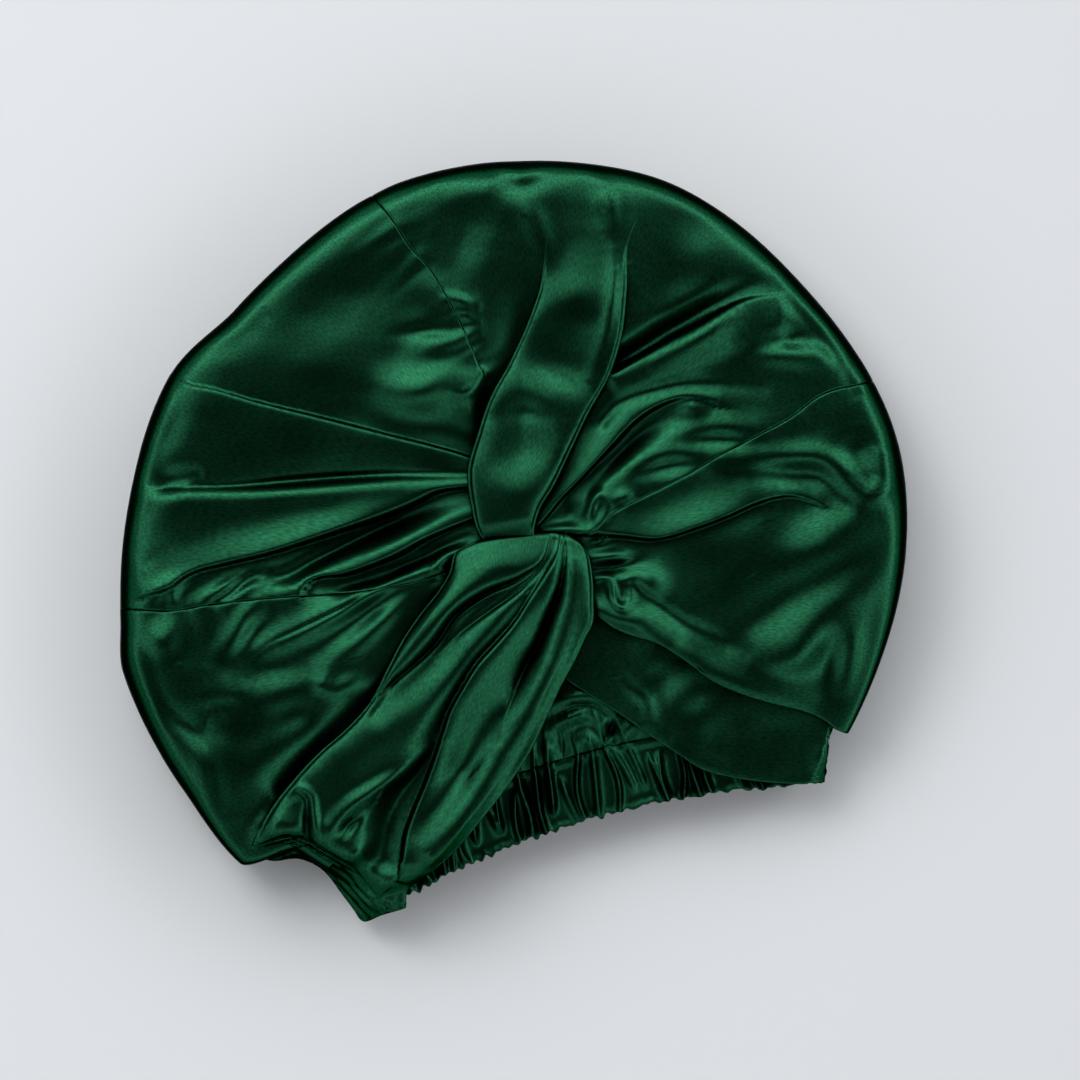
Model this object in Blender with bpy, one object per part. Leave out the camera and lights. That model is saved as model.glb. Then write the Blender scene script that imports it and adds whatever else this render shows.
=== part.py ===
"""Twist-front sleep bonnet of satin, lying on its back with its mouth towards -Y.

Every piece is drawn in the plan round the knot, which is at x = 0, y = 0, and lifted onto one
smooth crown. The finished pieces are then moved together, so that the origin ends up in the
middle of the bonnet, on the surface that it lies on.
"""

import math
from collections import namedtuple

import bmesh
import bpy
import numpy as np

MM = 0.001

# Crown
CROWN_RADIUS = 155 * MM
CROWN_DEPTH = 46 * MM
RIM_HEIGHT = 16 * MM
RIM_CURL = 14 * MM
RIM_JOIN_ANGLE = math.radians(45)
CROWN_FULLNESS = 4
DRAPE_SLOPE = 1.2
DRAPE_LOWEST = 3 * MM

# Cloth
WALL = 1.8 * MM
SEAM_GAP = 0.5 * MM
RIM_JOIN_GAP = 0.8 * MM
LAYER_GAP = 0.7 * MM
UNDER_TWO_LAYERS = 2 * (WALL + LAYER_GAP)
FOLD_LIFT = 1.0 * MM

# Mouth and elastic
BAND_WIDTH = 1.213 * CROWN_RADIUS
BAND_CASING = 28 * MM
BAND_WALL = 2.5 * MM
BAND_MIDDLE_X = -0.081 * CROWN_RADIUS
MOUTH_BELOW_KNOT = 0.871 * CROWN_RADIUS
MOUTH_ARCH = 0.081 * CROWN_RADIUS
MOUTH_HEIGHT = 23 * MM
MOUTH_RISE = 0.22
MOUTH_BLEND = 3 * MM
BAND_END_SHARE = 0.95
RUFFLE_HEIGHT = 2.2 * MM
RUFFLE_PINCH = 0.45
RUFFLES_ACROSS = 20

# Inner front: its gathers' foot is at the casing, and its head is near the knot
GATHER_HEIGHT = 3 * MM
GATHER_FOLDS = 18
GATHER_FADE = 1.5
GATHER_INSET = 8 * MM
GATHER_HEAD_X = -0.05 * CROWN_RADIUS
GATHER_HEAD_HALF_WIDTH = 0.26 * CROWN_RADIUS
GATHER_HEAD_Y = -0.24 * CROWN_RADIUS
GATHER_HEAD_SAG = 0.08 * CROWN_RADIUS

# Strips that lie on the crown
SASH_RIB = 6 * MM
TWIST_LIFT = 8 * MM

# Rim of the crown round the knot: angle in degrees, share of CROWN_RADIUS
OUTLINE = (
    (-60, 1.05),
    (-49, 1.00),
    (-34, 0.988),
    (-4, 0.998),
    (26, 0.972),
    (56, 1.005),
    (74, 0.999),
    (98, 1.015),
    (116, 1.006),
    (128, 1.019),
    (141, 1.085),
    (158, 1.112),
    (176, 1.161),
    (183, 1.193),
    (200, 1.195),
    (212, 1.215),
    (217, 1.09),
    (224, 1.085),
    (231, 1.13),
    (238, 1.11),
    (252, 1.04),
    (298, 1.05),
    (300, 1.05),
)
RIM_START = -49
RIM_END = 222

# A panel's fold runs from an inner point near the knot (shares of CROWN_RADIUS) to the rim
# (degrees). Its lift is in FOLD_LIFT: a crest is above zero and a valley below.
Fold = namedtuple("Fold", "name inner_x inner_y rim_angle lift")

LEFT_UPPER_FOLDS = (
    Fold("top seam", 0.01, 0.29, 101, -1.0),
    Fold("billow", -0.02, 0.27, 122, 2.5),
    Fold("first pleat, valley", -0.05, 0.24, 137, -2.0),
    Fold("first pleat, crest", -0.07, 0.21, 140, 2.0),
    Fold("first flat", -0.08, 0.19, 150, 0.0),
    Fold("second pleat, valley", -0.08, 0.17, 157, -3.0),
    Fold("second pleat, crest", -0.08, 0.16, 160, 2.0),
    Fold("second flat", -0.08, 0.15, 165, 0.5),
    Fold("third pleat, valley", -0.09, 0.14, 168, -2.0),
    Fold("third pleat, crest", -0.09, 0.13, 170, 2.5),
    Fold("fourth pleat, valley", -0.09, 0.11, 172, -2.5),
    Fold("left seam", -0.12, -0.03, 175, 0.0),
)
LEFT_LOWER_FOLDS = (
    Fold("left seam", -0.12, -0.03, 175, 0.0),
    Fold("first crest", -0.12, -0.06, 180, 2.0),
    Fold("first valley", -0.11, -0.08, 186, -1.5),
    Fold("second crest", -0.11, -0.10, 191, 2.5),
    Fold("second valley", -0.10, -0.13, 200, -1.0),
    Fold("third crest", -0.10, -0.15, 207, 0.5),
    Fold("tuck under the sash", -0.09, -0.18, 212, 0.0),
    Fold("end under the sash", -0.08, -0.21, RIM_END, 0.0),
)
TOP_RIGHT_FOLDS = (
    Fold("top seam", 0.01, 0.29, 101, -1.0),
    Fold("top billow", 0.04, 0.27, 86, 1.0),
    Fold("under the twist", 0.06, 0.25, 71, 0.0),
    Fold("right of the twist", 0.09, 0.22, 56, 0.0),
    Fold("upper billow", 0.10, 0.20, 40, 0.5),
    Fold("lap, valley", 0.09, 0.17, 24, -4.0),
    Fold("lap, crest", 0.07, 0.14, 19, 3.0),
    Fold("middle flat", 0.05, 0.10, 14, -0.5),
    Fold("second valley", 0.03, 0.07, 12, -1.5),
    Fold("second crest", 0.00, 0.04, 10, 2.0),
    Fold("right seam", 0.01, -0.05, 8, 0.0),
)
RIGHT_LOWER_FOLDS = (
    Fold("right seam", 0.01, -0.05, 8, 0.0),
    Fold("broad ridge", 0.04, -0.07, 0, 2.5),
    Fold("hollow", 0.05, -0.09, -11, -2.5),
    Fold("puff", 0.06, -0.11, -21, 1.0),
    Fold("flat", 0.06, -0.13, -29, 0.0),
    Fold("rolled edge, crest", 0.06, -0.16, -40, 3.0),
    Fold("rolled edge, end", 0.06, -0.18, RIM_START, 1.0),
)
# How much of its lift a fold has, from its inner end (0) to the rim (1)
FOLD_FADE = ((0.0, 0.5), (0.15, 1.0), (0.5, 0.8), (0.85, 0.25), (1.0, 0.0))

# A strip is lofted through sections, left edge to right edge, in shares of CROWN_RADIUS. The
# twist's lifts at its left edge, middle and right edge are shares of TWIST_LIFT.
TwistSection = namedtuple("TwistSection", "left_x left_y right_x right_y left middle right")

UPPER_TWIST = (
    TwistSection(0.29, 0.81, 0.55, 0.79, 0.04, 0.04, 0.04),
    TwistSection(0.24, 0.69, 0.42, 0.64, 0.06, 0.19, 0.09),
    TwistSection(0.17, 0.60, 0.39, 0.55, 0.10, 0.38, 0.12),
    TwistSection(0.09, 0.50, 0.36, 0.46, 0.18, 0.56, 0.18),
    TwistSection(0.00, 0.41, 0.29, 0.33, 0.31, 0.75, 0.38),
    TwistSection(-0.08, 0.31, 0.19, 0.23, 0.44, 0.94, 0.44),
    TwistSection(-0.14, 0.18, 0.09, 0.12, 0.44, 1.00, 0.44),
    TwistSection(-0.15, 0.10, 0.03, 0.05, 0.38, 0.81, 0.38),
    TwistSection(-0.14, 0.03, -0.01, 0.00, 0.19, 0.38, 0.19),
    TwistSection(-0.12, -0.02, -0.01, -0.05, 0.06, 0.12, 0.06),
)
# The sash's lifts are at its edges and in its body, in FOLD_LIFT. Its three valleys are shares
# of the way from its left edge to its right edge.
SashSection = namedtuple(
    "SashSection", "left_x left_y right_x right_y edge body first second third"
)

LOWER_SASH = (
    SashSection(-0.16, 0.02, 0.12, -0.08, 3.6, 5.5, 0.60, 0.70, 0.80),
    SashSection(-0.23, -0.03, 0.10, -0.16, 3.0, 5.0, 0.56, 0.68, 0.80),
    SashSection(-0.28, -0.06, 0.08, -0.22, 2.6, 4.5, 0.45, 0.63, 0.76),
    SashSection(-0.36, -0.14, 0.05, -0.30, 2.4, 4.0, 0.33, 0.56, 0.74),
    SashSection(-0.45, -0.22, -0.01, -0.39, 2.0, 3.5, 0.22, 0.50, 0.73),
    SashSection(-0.55, -0.31, -0.08, -0.47, 1.2, 3.0, 0.12, 0.44, 0.72),
    SashSection(-0.67, -0.39, -0.17, -0.56, 0.4, 3.0, 0.10, 0.40, 0.68),
    SashSection(-0.80, -0.47, -0.28, -0.65, 0.3, 4.0, 0.14, 0.38, 0.66),
    SashSection(-0.90, -0.55, -0.41, -0.73, 1.5, 5.5, 0.18, 0.38, 0.66),
    SashSection(-0.97, -0.61, -0.54, -0.82, 3.5, 7.0, 0.22, 0.42, 0.68),
    SashSection(-0.92, -0.69, -0.63, -0.88, 4.0, 7.0, 0.24, 0.46, 0.70),
    SashSection(-0.79, -0.80, -0.74, -0.89, 2.0, 4.0, 0.30, 0.50, 0.70),
)
FlapSection = namedtuple("FlapSection", "left_x left_y right_x right_y")

UNDER_FLAP = (
    FlapSection(0.05, -0.21, 0.10, -0.19),
    FlapSection(0.02, -0.31, 0.22, -0.27),
    FlapSection(0.03, -0.47, 0.36, -0.38),
    FlapSection(0.10, -0.62, 0.51, -0.49),
    FlapSection(0.21, -0.74, 0.64, -0.57),
    FlapSection(0.38, -0.83, 0.70, -0.65),
    FlapSection(0.50, -0.86, 0.68, -0.71),
    FlapSection(0.565, -0.868, 0.62, -0.75),
)

# Fineness of the facets
TOP_ROWS = 11
CURL_ROWS = 3
STEPS_BETWEEN_FOLDS = 2
STEPS_BETWEEN_SECTIONS = 2
TWIST_COLUMNS = 8
SASH_COLUMNS = 14
FLAP_COLUMNS = 5
GATHER_ROWS = 5
STEPS_ON_A_GATHER = 3
BACK_COLUMN_SPACING = 4
MOUTH_COLUMNS = 12
BACK_ROWS = (0.0, 0.35, 0.7, 1.0)
MOUTH_ROWS = (0.0, 0.32, 0.63, 0.9, 0.95, 1.0)
CASING_ROWS = 3
STEPS_ON_A_RUFFLE = 4
BAND_END_STEPS = 5

SATIN_GREEN = (0.004, 0.033, 0.014)
SATIN_ROUGHNESS = 0.35


def clear_scene():
    for thing in list(bpy.data.objects):
        bpy.data.objects.remove(thing)


def curve_through(rows, place):
    """Height at a place of a smooth curve through (place, height) rows, with no overshoot."""
    places = [row[0] for row in rows]
    heights = [row[1] for row in rows]
    place = min(max(place, places[0]), places[-1])
    slopes = [(b - a) / (q - p) for a, b, p, q in zip(heights, heights[1:], places, places[1:])]
    tangents = [0.0] * len(rows)
    for i in range(1, len(rows) - 1):
        if slopes[i - 1] * slopes[i] > 0:
            tangents[i] = 2 / (1 / slopes[i - 1] + 1 / slopes[i])
    k = min(max(i for i, start in enumerate(places) if start <= place), len(rows) - 2)
    span = places[k + 1] - places[k]
    t = (place - places[k]) / span
    rise = heights[k + 1] - heights[k]
    return (
        heights[k]
        + rise * t * t * (3 - 2 * t)
        + tangents[k] * span * t * (1 - t) ** 2
        - tangents[k + 1] * span * t * t * (1 - t)
    )


def rim_radius(angle):
    """Radius of the crown's rim round the knot, at an angle in degrees."""
    turned = (angle - OUTLINE[0][0]) % 360 + OUTLINE[0][0]
    return CROWN_RADIUS * curve_through(OUTLINE, turned)


def outward(angle):
    return np.array((math.cos(math.radians(angle)), math.sin(math.radians(angle)), 0.0))


def mouth_slope(y):
    """Height of the plane that the front slopes down to at the mouth."""
    return MOUTH_HEIGHT + MOUTH_RISE * (y + MOUTH_BELOW_KNOT)


def crown_height(x, y):
    """Height of the smooth front at a point in the plan, and of cloth draped past its rim."""
    radius = math.hypot(x, y)
    rim = rim_radius(math.degrees(math.atan2(y, x)))
    if radius > rim:
        return max(RIM_HEIGHT - DRAPE_SLOPE * (radius - rim), DRAPE_LOWEST)
    dome = math.sqrt(1 - (radius / rim) ** CROWN_FULLNESS)
    over = math.exp(-dome * (CROWN_DEPTH - RIM_HEIGHT) / MOUTH_BLEND)
    under = math.exp(-max(mouth_slope(y) - RIM_HEIGHT, 0) / MOUTH_BLEND)
    return RIM_HEIGHT - MOUTH_BLEND * math.log(over + under - over * under)


def crown_normal(x, y):
    """Outward direction of the smooth front at a point in the plan."""
    step = CROWN_RADIUS / 1500
    slope_x = (crown_height(x + step, y) - crown_height(x - step, y)) / (2 * step)
    slope_y = (crown_height(x, y + step) - crown_height(x, y - step)) / (2 * step)
    normal = np.array((-slope_x, -slope_y, 1.0))
    return normal / np.linalg.norm(normal)


def curl_point(angle, turn):
    """Point and outward direction on the rim's curl, from the rim (0) to the surface below (90)."""
    away = outward(angle)
    reach = rim_radius(angle) - RIM_CURL * (1 - math.cos(turn))
    point = reach * away + np.array((0, 0, RIM_HEIGHT * (1 - math.sin(turn))))
    normal = math.cos(turn) * away + np.array((0, 0, -math.sin(turn)))
    return point, normal


def closed_wall(name, outer, inner, ring=False):
    """One closed body between two grids of points. A ring's last column joins its first."""
    body = bmesh.new()
    skins = [[[body.verts.new(point) for point in row] for row in grid] for grid in (outer, inner)]
    rows = len(outer)
    columns = len(outer[0])
    spans = range(columns) if ring else range(columns - 1)
    for skin in skins:
        for i in range(rows - 1):
            for j in spans:
                k = (j + 1) % columns
                body.faces.new((skin[i][j], skin[i][k], skin[i + 1][k], skin[i + 1][j]))
    edges = [[(skins[0][i][j], skins[1][i][j]) for j in range(columns)] for i in (0, rows - 1)]
    loops = [zip(edge, edge[1:] + edge[:1] if ring else edge[1:]) for edge in edges]
    if not ring:
        sides = [[(skins[0][i][j], skins[1][i][j]) for i in range(rows)] for j in (0, columns - 1)]
        loops += [zip(side, side[1:]) for side in sides]
    for loop in loops:
        for (a, b), (c, d) in loop:
            body.faces.new((a, b, d, c))
    bmesh.ops.remove_doubles(body, verts=body.verts, dist=CROWN_RADIUS / 100000)
    loose = [edge for edge in body.edges if not edge.link_faces]
    bmesh.ops.delete(body, geom=loose, context="EDGES")
    bmesh.ops.recalc_face_normals(body, faces=body.faces)
    mesh = bpy.data.meshes.new(name)
    body.to_mesh(mesh)
    body.free()
    mesh.shade_smooth()
    thing = bpy.data.objects.new(name, mesh)
    thing.data.materials.append(satin(name + "_satin"))
    bpy.context.collection.objects.link(thing)
    return thing


def satin(name):
    material = bpy.data.materials.new(name)
    material.use_nodes = True
    shader = material.node_tree.nodes["Principled BSDF"]
    shader.inputs["Base Color"].default_value = (*SATIN_GREEN, 1.0)
    shader.inputs["Roughness"].default_value = SATIN_ROUGHNESS
    shader.inputs["Metallic"].default_value = 0.0
    return material


def between(rows, step, steps):
    """The row at a step of a loft through rows, eased from each row to the next."""
    k = min(step // steps, len(rows) - 2)
    t = step / steps - k
    return k, t, t * t * (3 - 2 * t)


def panel_ray(folds, step):
    """Inner point, rim angle and lift of a panel's ray, between two of its folds."""
    k, t, eased = between(folds, step, STEPS_BETWEEN_FOLDS)
    a, b = folds[k], folds[k + 1]
    inner = CROWN_RADIUS * np.array(
        (a.inner_x + (b.inner_x - a.inner_x) * t, a.inner_y + (b.inner_y - a.inner_y) * t)
    )
    return inner, a.rim_angle + (b.rim_angle - a.rim_angle) * t, a.lift + (b.lift - a.lift) * eased


def panel(name, folds):
    """A front panel: rays from near the knot, over the crown and round the rim's curl."""
    outer_columns = []
    inner_columns = []
    last = STEPS_BETWEEN_FOLDS * (len(folds) - 1)
    towards = 1 if folds[-1].rim_angle > folds[0].rim_angle else -1
    for step in range(last + 1):
        start, angle, lift = panel_ray(folds, step)
        end = (rim_radius(angle) * outward(angle))[:2]
        ray = (end - start) / np.linalg.norm(end - start)
        aside = np.array((-ray[1], ray[0], 0.0)) * towards * SEAM_GAP / 2
        aside *= {0: 1, last: -1}.get(step, 0)
        outer_column = []
        inner_column = []
        for row in range(TOP_ROWS + 1):
            share = math.sin(math.pi / 2 * row / TOP_ROWS)
            x, y = start + (end - start) * share
            normal = crown_normal(x, y) if row < TOP_ROWS else outward(angle)
            point = np.array((x, y, crown_height(x, y))) + aside
            raised = lift * FOLD_LIFT * curve_through(FOLD_FADE, share)
            outer_column.append(point + raised * normal)
            inner_column.append(point + (raised - WALL) * normal)
        for row in range(1, CURL_ROWS + 1):
            point, normal = curl_point(angle, RIM_JOIN_ANGLE * row / CURL_ROWS)
            outer_column.append(point + aside)
            inner_column.append(point + aside - WALL * normal)
        outer_columns.append(outer_column)
        inner_columns.append(inner_column)
    return closed_wall(name, outer_columns, inner_columns)


def strip(name, sections, columns, lowest, profile):
    """A strip of cloth lofted through sections. Its profile gives the lift across a section."""
    outer_rows = []
    inner_rows = []
    for step in range(STEPS_BETWEEN_SECTIONS * (len(sections) - 1) + 1):
        k, t, _ = between(sections, step, STEPS_BETWEEN_SECTIONS)
        row = np.array(sections[k]) * (1 - t) + np.array(sections[k + 1]) * t
        left = CROWN_RADIUS * row[0:2]
        right = CROWN_RADIUS * row[2:4]
        outer_row = []
        inner_row = []
        for column in range(columns + 1):
            across = column / columns
            x, y = left + (right - left) * across
            normal = crown_normal(x, y)
            point = np.array((x, y, crown_height(x, y)))
            lift = lowest + profile(row, across)
            outer_row.append(point + lift * normal)
            inner_row.append(point + (lift - WALL) * normal)
        outer_rows.append(outer_row)
        inner_rows.append(inner_row)
    return closed_wall(name, outer_rows, inner_rows)


def twist_profile(row, across):
    """The twist's lift: an arch from its left edge over its middle to its right edge."""
    left, middle, right = row[4:7]
    edge = left + (right - left) * across
    bulge = middle - (left + right) / 2
    return TWIST_LIFT * (edge + bulge * (1 - (2 * across - 1) ** 2))


def flat_profile(row, across):
    """The flap has no lift of its own: it follows the crown."""
    return 0.0


def sash_profile(row, across):
    """The sash's lift: a round rib between each two of its valleys, and none at its edges."""
    edge, body, *valleys = row[4:9]
    marks = [0.0, *valleys, 1.0]
    k = max(i for i, mark in enumerate(marks[:-1]) if mark <= across)
    t = (across - marks[k]) / (marks[k + 1] - marks[k])
    inside = min(4 * across, 4 * (1 - across), 1.0)
    width = math.sqrt(marks[k + 1] - marks[k])
    lift = edge + (body - edge) * inside
    return FOLD_LIFT * lift + SASH_RIB * width * math.sin(math.pi * t)


def casing_edge(x):
    """Where the elastic's edge is at x: a shallow arch up towards the knot."""
    share = 2 * (x - BAND_MIDDLE_X) / BAND_WIDTH
    return -MOUTH_BELOW_KNOT + MOUTH_ARCH * (1 - share**2)


def wave(step, steps):
    """A wave that is 0 at each whole number of steps, and 1 between them."""
    return 0.5 - 0.5 * math.cos(2 * math.pi * step / steps)


def casing_end(x, middle, radius, start):
    """Half a turn round one end of the casing, from a start angle in degrees."""
    turns = [math.radians(start - 180 * i / BAND_END_STEPS) for i in range(1, BAND_END_STEPS)]
    aims = [(math.cos(turn), math.sin(turn)) for turn in turns]
    return [(x + radius * aim[0], middle * (1 + aim[1]), aim) for aim in aims]


def casing_loop(up):
    """Places and outward directions round the casing, at a share of the way up from its edge."""

    def top(x):
        return crown_height(x, casing_edge(x) + BAND_CASING * up) - UNDER_TWO_LAYERS

    half = BAND_WIDTH / 2
    left_radius = top(BAND_MIDDLE_X - half * BAND_END_SHARE) / 2
    right_radius = top(BAND_MIDDLE_X + half * BAND_END_SHARE) / 2
    left = BAND_MIDDLE_X - half + left_radius
    right = BAND_MIDDLE_X + half - right_radius
    ruffle = RUFFLE_HEIGHT * (1 - RUFFLE_PINCH * math.sin(math.pi * up))
    steps = RUFFLES_ACROSS * STEPS_ON_A_RUFFLE
    front = []
    back = []
    for step in range(steps + 1):
        x = left + (right - left) * step / steps
        dent = ruffle * wave(step, STEPS_ON_A_RUFFLE)
        front.append((x, top(x) - dent, (0, 1)))
        back.append((x, dent, (0, -1)))
    right_end = casing_end(right, top(right) / 2, right_radius, 90)
    left_end = casing_end(left, top(left) / 2, left_radius, -90)
    return front + right_end + back[::-1] + left_end


def elastic_band():
    """The ruffled casing: one ring, its back half flat on the surface, its front half above."""
    outer_rows = []
    inner_rows = []
    for row in range(CASING_ROWS + 1):
        up = row / CASING_ROWS
        loop = [
            (np.array((x, casing_edge(x) + BAND_CASING * up, z)), np.array((aim[0], 0, aim[1])))
            for x, z, aim in casing_loop(up)
        ]
        outer_rows.append([point for point, _ in loop])
        inner_rows.append([point - BAND_WALL * aim for point, aim in loop])
    return closed_wall("elastic_band", outer_rows, inner_rows, ring=True)


def front_gather():
    """The inner front: gathers that start at the casing and die out towards the knot."""
    outer_rows = []
    inner_rows = []
    steps = GATHER_FOLDS * STEPS_ON_A_GATHER
    for row in range(GATHER_ROWS + 1):
        up = row / GATHER_ROWS
        outer_row = []
        inner_row = []
        for step in range(steps + 1):
            across = 2 * step / steps - 1
            foot_x = BAND_MIDDLE_X + (BAND_WIDTH / 2 - GATHER_INSET) * across
            foot = np.array((foot_x, casing_edge(foot_x) + BAND_CASING + SEAM_GAP))
            head_x = GATHER_HEAD_X + GATHER_HEAD_HALF_WIDTH * across
            head_y = GATHER_HEAD_Y - GATHER_HEAD_SAG * across**2
            x, y = foot + (np.array((head_x, head_y)) - foot) * up
            dent = GATHER_HEIGHT * wave(step, STEPS_ON_A_GATHER) * (1 - up) ** GATHER_FADE
            top = crown_height(x, y) - UNDER_TWO_LAYERS - dent
            outer_row.append((x, y, top))
            inner_row.append((x, y, top - WALL))
        outer_rows.append(outer_row)
        inner_rows.append(inner_row)
    return closed_wall("front_gather", outer_rows, inner_rows)


def rim_angles():
    """Angles where the back's rim has a column: those of the front panels' rays, thinned out."""
    rays = set()
    for folds in (LEFT_UPPER_FOLDS, LEFT_LOWER_FOLDS, TOP_RIGHT_FOLDS, RIGHT_LOWER_FOLDS):
        last = STEPS_BETWEEN_FOLDS * (len(folds) - 1)
        rays |= {panel_ray(folds, step)[1] for step in range(last + 1)}
    kept = [RIM_START]
    for angle in sorted(rays):
        if kept[-1] + BACK_COLUMN_SPACING <= angle <= RIM_END - BACK_COLUMN_SPACING:
            kept.append(angle)
    return [*kept, RIM_END]


def back_panel():
    """The back: flat on the surface from its middle to the mouth, and curled up at the rim."""
    gap_turn = RIM_JOIN_GAP / RIM_CURL
    turns = [math.pi / 2 + (RIM_JOIN_ANGLE + gap_turn - math.pi / 2) * i / 2 for i in range(3)]
    outer_columns = []
    inner_columns = []
    for angle in rim_angles():
        flat = (rim_radius(angle) - RIM_CURL) * outward(angle)
        curl = [curl_point(angle, turn) for turn in turns[1:]]
        down = np.array((0.0, 0.0, -1.0))
        points = [(flat * share, down) for share in BACK_ROWS] + curl
        outer_columns.append([point for point, _ in points])
        inner_columns.append([point - WALL * normal for point, normal in points])
    for column in range(MOUTH_COLUMNS + 1):
        x = BAND_MIDDLE_X + BAND_WIDTH / 2 * (2 * column / MOUTH_COLUMNS - 1)
        foot = np.array((x, casing_edge(x) + BAND_CASING + SEAM_GAP, 0.0))
        outer_columns.append([foot * share for share in MOUTH_ROWS])
        inner_columns.append([foot * share + np.array((0, 0, WALL)) for share in MOUTH_ROWS])
    outer_rows = [list(row) for row in zip(*outer_columns)]
    inner_rows = [list(row) for row in zip(*inner_columns)]
    return closed_wall("back_panel", outer_rows, inner_rows, ring=True)


def centre_on_origin(things):
    """Moves all pieces together, so that the origin is in the middle of their box's bottom."""
    points = np.array([tuple(vertex.co) for thing in things for vertex in thing.data.vertices])
    low = points.min(axis=0)
    high = points.max(axis=0)
    shift = (-(low[0] + high[0]) / 2, -(low[1] + high[1]) / 2, -low[2])
    for thing in things:
        thing.location = shift


def bonnet():
    on_panels = WALL + LAYER_GAP
    pieces = [
        back_panel(),
        panel("left_upper_panel", LEFT_UPPER_FOLDS),
        panel("left_lower_panel", LEFT_LOWER_FOLDS),
        panel("top_right_panel", TOP_RIGHT_FOLDS),
        panel("right_lower_panel", RIGHT_LOWER_FOLDS),
        front_gather(),
        strip("under_flap", UNDER_FLAP, FLAP_COLUMNS, -on_panels, flat_profile),
        strip("upper_twist", UPPER_TWIST, TWIST_COLUMNS, on_panels, twist_profile),
        strip("lower_sash", LOWER_SASH, SASH_COLUMNS, on_panels, sash_profile),
        elastic_band(),
    ]
    centre_on_origin(pieces)


clear_scene()
bonnet()
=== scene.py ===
"""Looks of the satin sleep bonnet: finely folded cloth in place of the plain pieces, on a pale floor."""

import math
from collections import namedtuple

import bpy
import numpy as np
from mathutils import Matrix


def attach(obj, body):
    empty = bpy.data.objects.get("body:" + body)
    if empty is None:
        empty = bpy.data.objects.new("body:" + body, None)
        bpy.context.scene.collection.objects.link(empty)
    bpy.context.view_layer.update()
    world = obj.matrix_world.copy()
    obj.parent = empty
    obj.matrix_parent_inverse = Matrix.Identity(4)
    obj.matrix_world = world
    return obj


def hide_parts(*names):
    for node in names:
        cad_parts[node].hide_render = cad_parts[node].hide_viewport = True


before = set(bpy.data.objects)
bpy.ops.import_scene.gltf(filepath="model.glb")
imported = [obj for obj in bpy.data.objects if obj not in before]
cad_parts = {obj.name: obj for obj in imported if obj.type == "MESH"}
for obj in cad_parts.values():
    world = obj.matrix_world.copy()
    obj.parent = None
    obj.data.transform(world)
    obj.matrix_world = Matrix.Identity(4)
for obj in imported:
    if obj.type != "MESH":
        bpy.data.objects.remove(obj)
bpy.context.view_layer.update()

MM = 0.001

# The photograph, seen from straight above: the bonnet lies turned in it
PIXEL = 0.42 * MM
KNOT_PIXEL = (540, 530)
FRAME_MIDDLE_PIXEL = (540, 540)
FRAME_PIXELS = 1080
TURN = math.radians(16)
KNOT = np.array((15.08, -8.09, 0.0)) * MM
CAMERA_HEIGHT = 3.0
SENSOR = 36.0

# Crown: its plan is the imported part's, but it is flatter on top and turns more sharply at the rim
CROWN_RADIUS = 155 * MM
CROWN_DEPTH = 43 * MM
RIM_HEIGHT = 16 * MM
RIM_CURL = 14 * MM
CROWN_FULLNESS = 34
DRAPE_SLOPE = 1.2
DRAPE_LOWEST = 3 * MM
BAND_WIDTH = 188 * MM
BAND_CASING = 28 * MM
BAND_MIDDLE_X = -12.5 * MM
BAND_BELOW_PANELS = 5 * MM
MOUTH_BELOW_KNOT = 135 * MM
MOUTH_ARCH = 12.5 * MM
MOUTH_HEIGHT = 23 * MM
MOUTH_RISE = 0.22
MOUTH_BLEND = 3 * MM

# Rim round the knot: angle in degrees, share of CROWN_RADIUS
OUTLINE = (
    (-60, 1.05),
    (-49, 1.00),
    (-34, 0.988),
    (-4, 0.998),
    (26, 0.972),
    (56, 1.005),
    (74, 0.999),
    (98, 1.015),
    (116, 1.006),
    (128, 1.019),
    (141, 1.085),
    (158, 1.112),
    (176, 1.161),
    (183, 1.193),
    (200, 1.195),
    (212, 1.215),
    (217, 1.09),
    (224, 1.085),
    (231, 1.13),
    (238, 1.11),
    (252, 1.04),
    (298, 1.05),
    (300, 1.05),
)

# Cloth
CLOTH_THICKNESS = 0.6 * MM
LAP_EDGE = 2.2 * MM
ROLL_EDGE = 8.0 * MM
ROLL_RADIUS = 1.2 * MM
ROLL_TUCK = 5 * MM
ROLL_STEPS = 8
TUCK_STEPS = 4
CURL_ROWS = 12
PANEL_SEED = 41
RIM_KEEPS = 0.12
JOIN_TURN = math.radians(46)

# A fold's path is given in the photograph's pixels. Its rise is in MM at its start, middle and
# end, and its width in MM at its start and end. A ridge stands up, a hollow is its reverse and a
# valley is a sharp crease. A slope, a lap and a roll are high on the left of their path as seen in
# the plan and low on its right: a lap turns over sharply, a roll roundly.
Fold = namedtuple("Fold", "name kind rise width path")

TOP_SEAM = (
    (514, 426), (496, 396), (482, 371), (466, 335), (448, 300),
    (429, 269), (410, 248), (396, 226), (385, 211), (370, 193),
)
LEFT_SEAM = (
    (500, 553), (470, 563), (440, 575), (390, 587), (368, 590),
    (320, 595), (272, 598), (215, 604), (177, 610), (122, 608),
)
RIGHT_SEAM = (
    (549, 547), (570, 540), (593, 531), (606, 518), (632, 503), (662, 488),
    (694, 471), (722, 454), (761, 434), (791, 417), (816, 398), (874, 381),
)
RIGHT_EDGE = (
    (580, 588), (589, 603), (600, 615), (612, 624), (627, 631), (657, 640), (682, 656),
    (714, 679), (743, 691), (775, 701), (804, 709), (824, 718), (836, 727), (849, 732),
)
LEFT_HIDDEN_EDGE = ((533, 613), (470, 690), (400, 780), (328, 869))
LEFT_INNER = ((514, 426), (500, 450), (492, 480), (490, 510), (500, 553))
LEFT_LOWER_INNER = ((500, 553), (508, 575), (520, 595), (533, 613))
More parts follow.
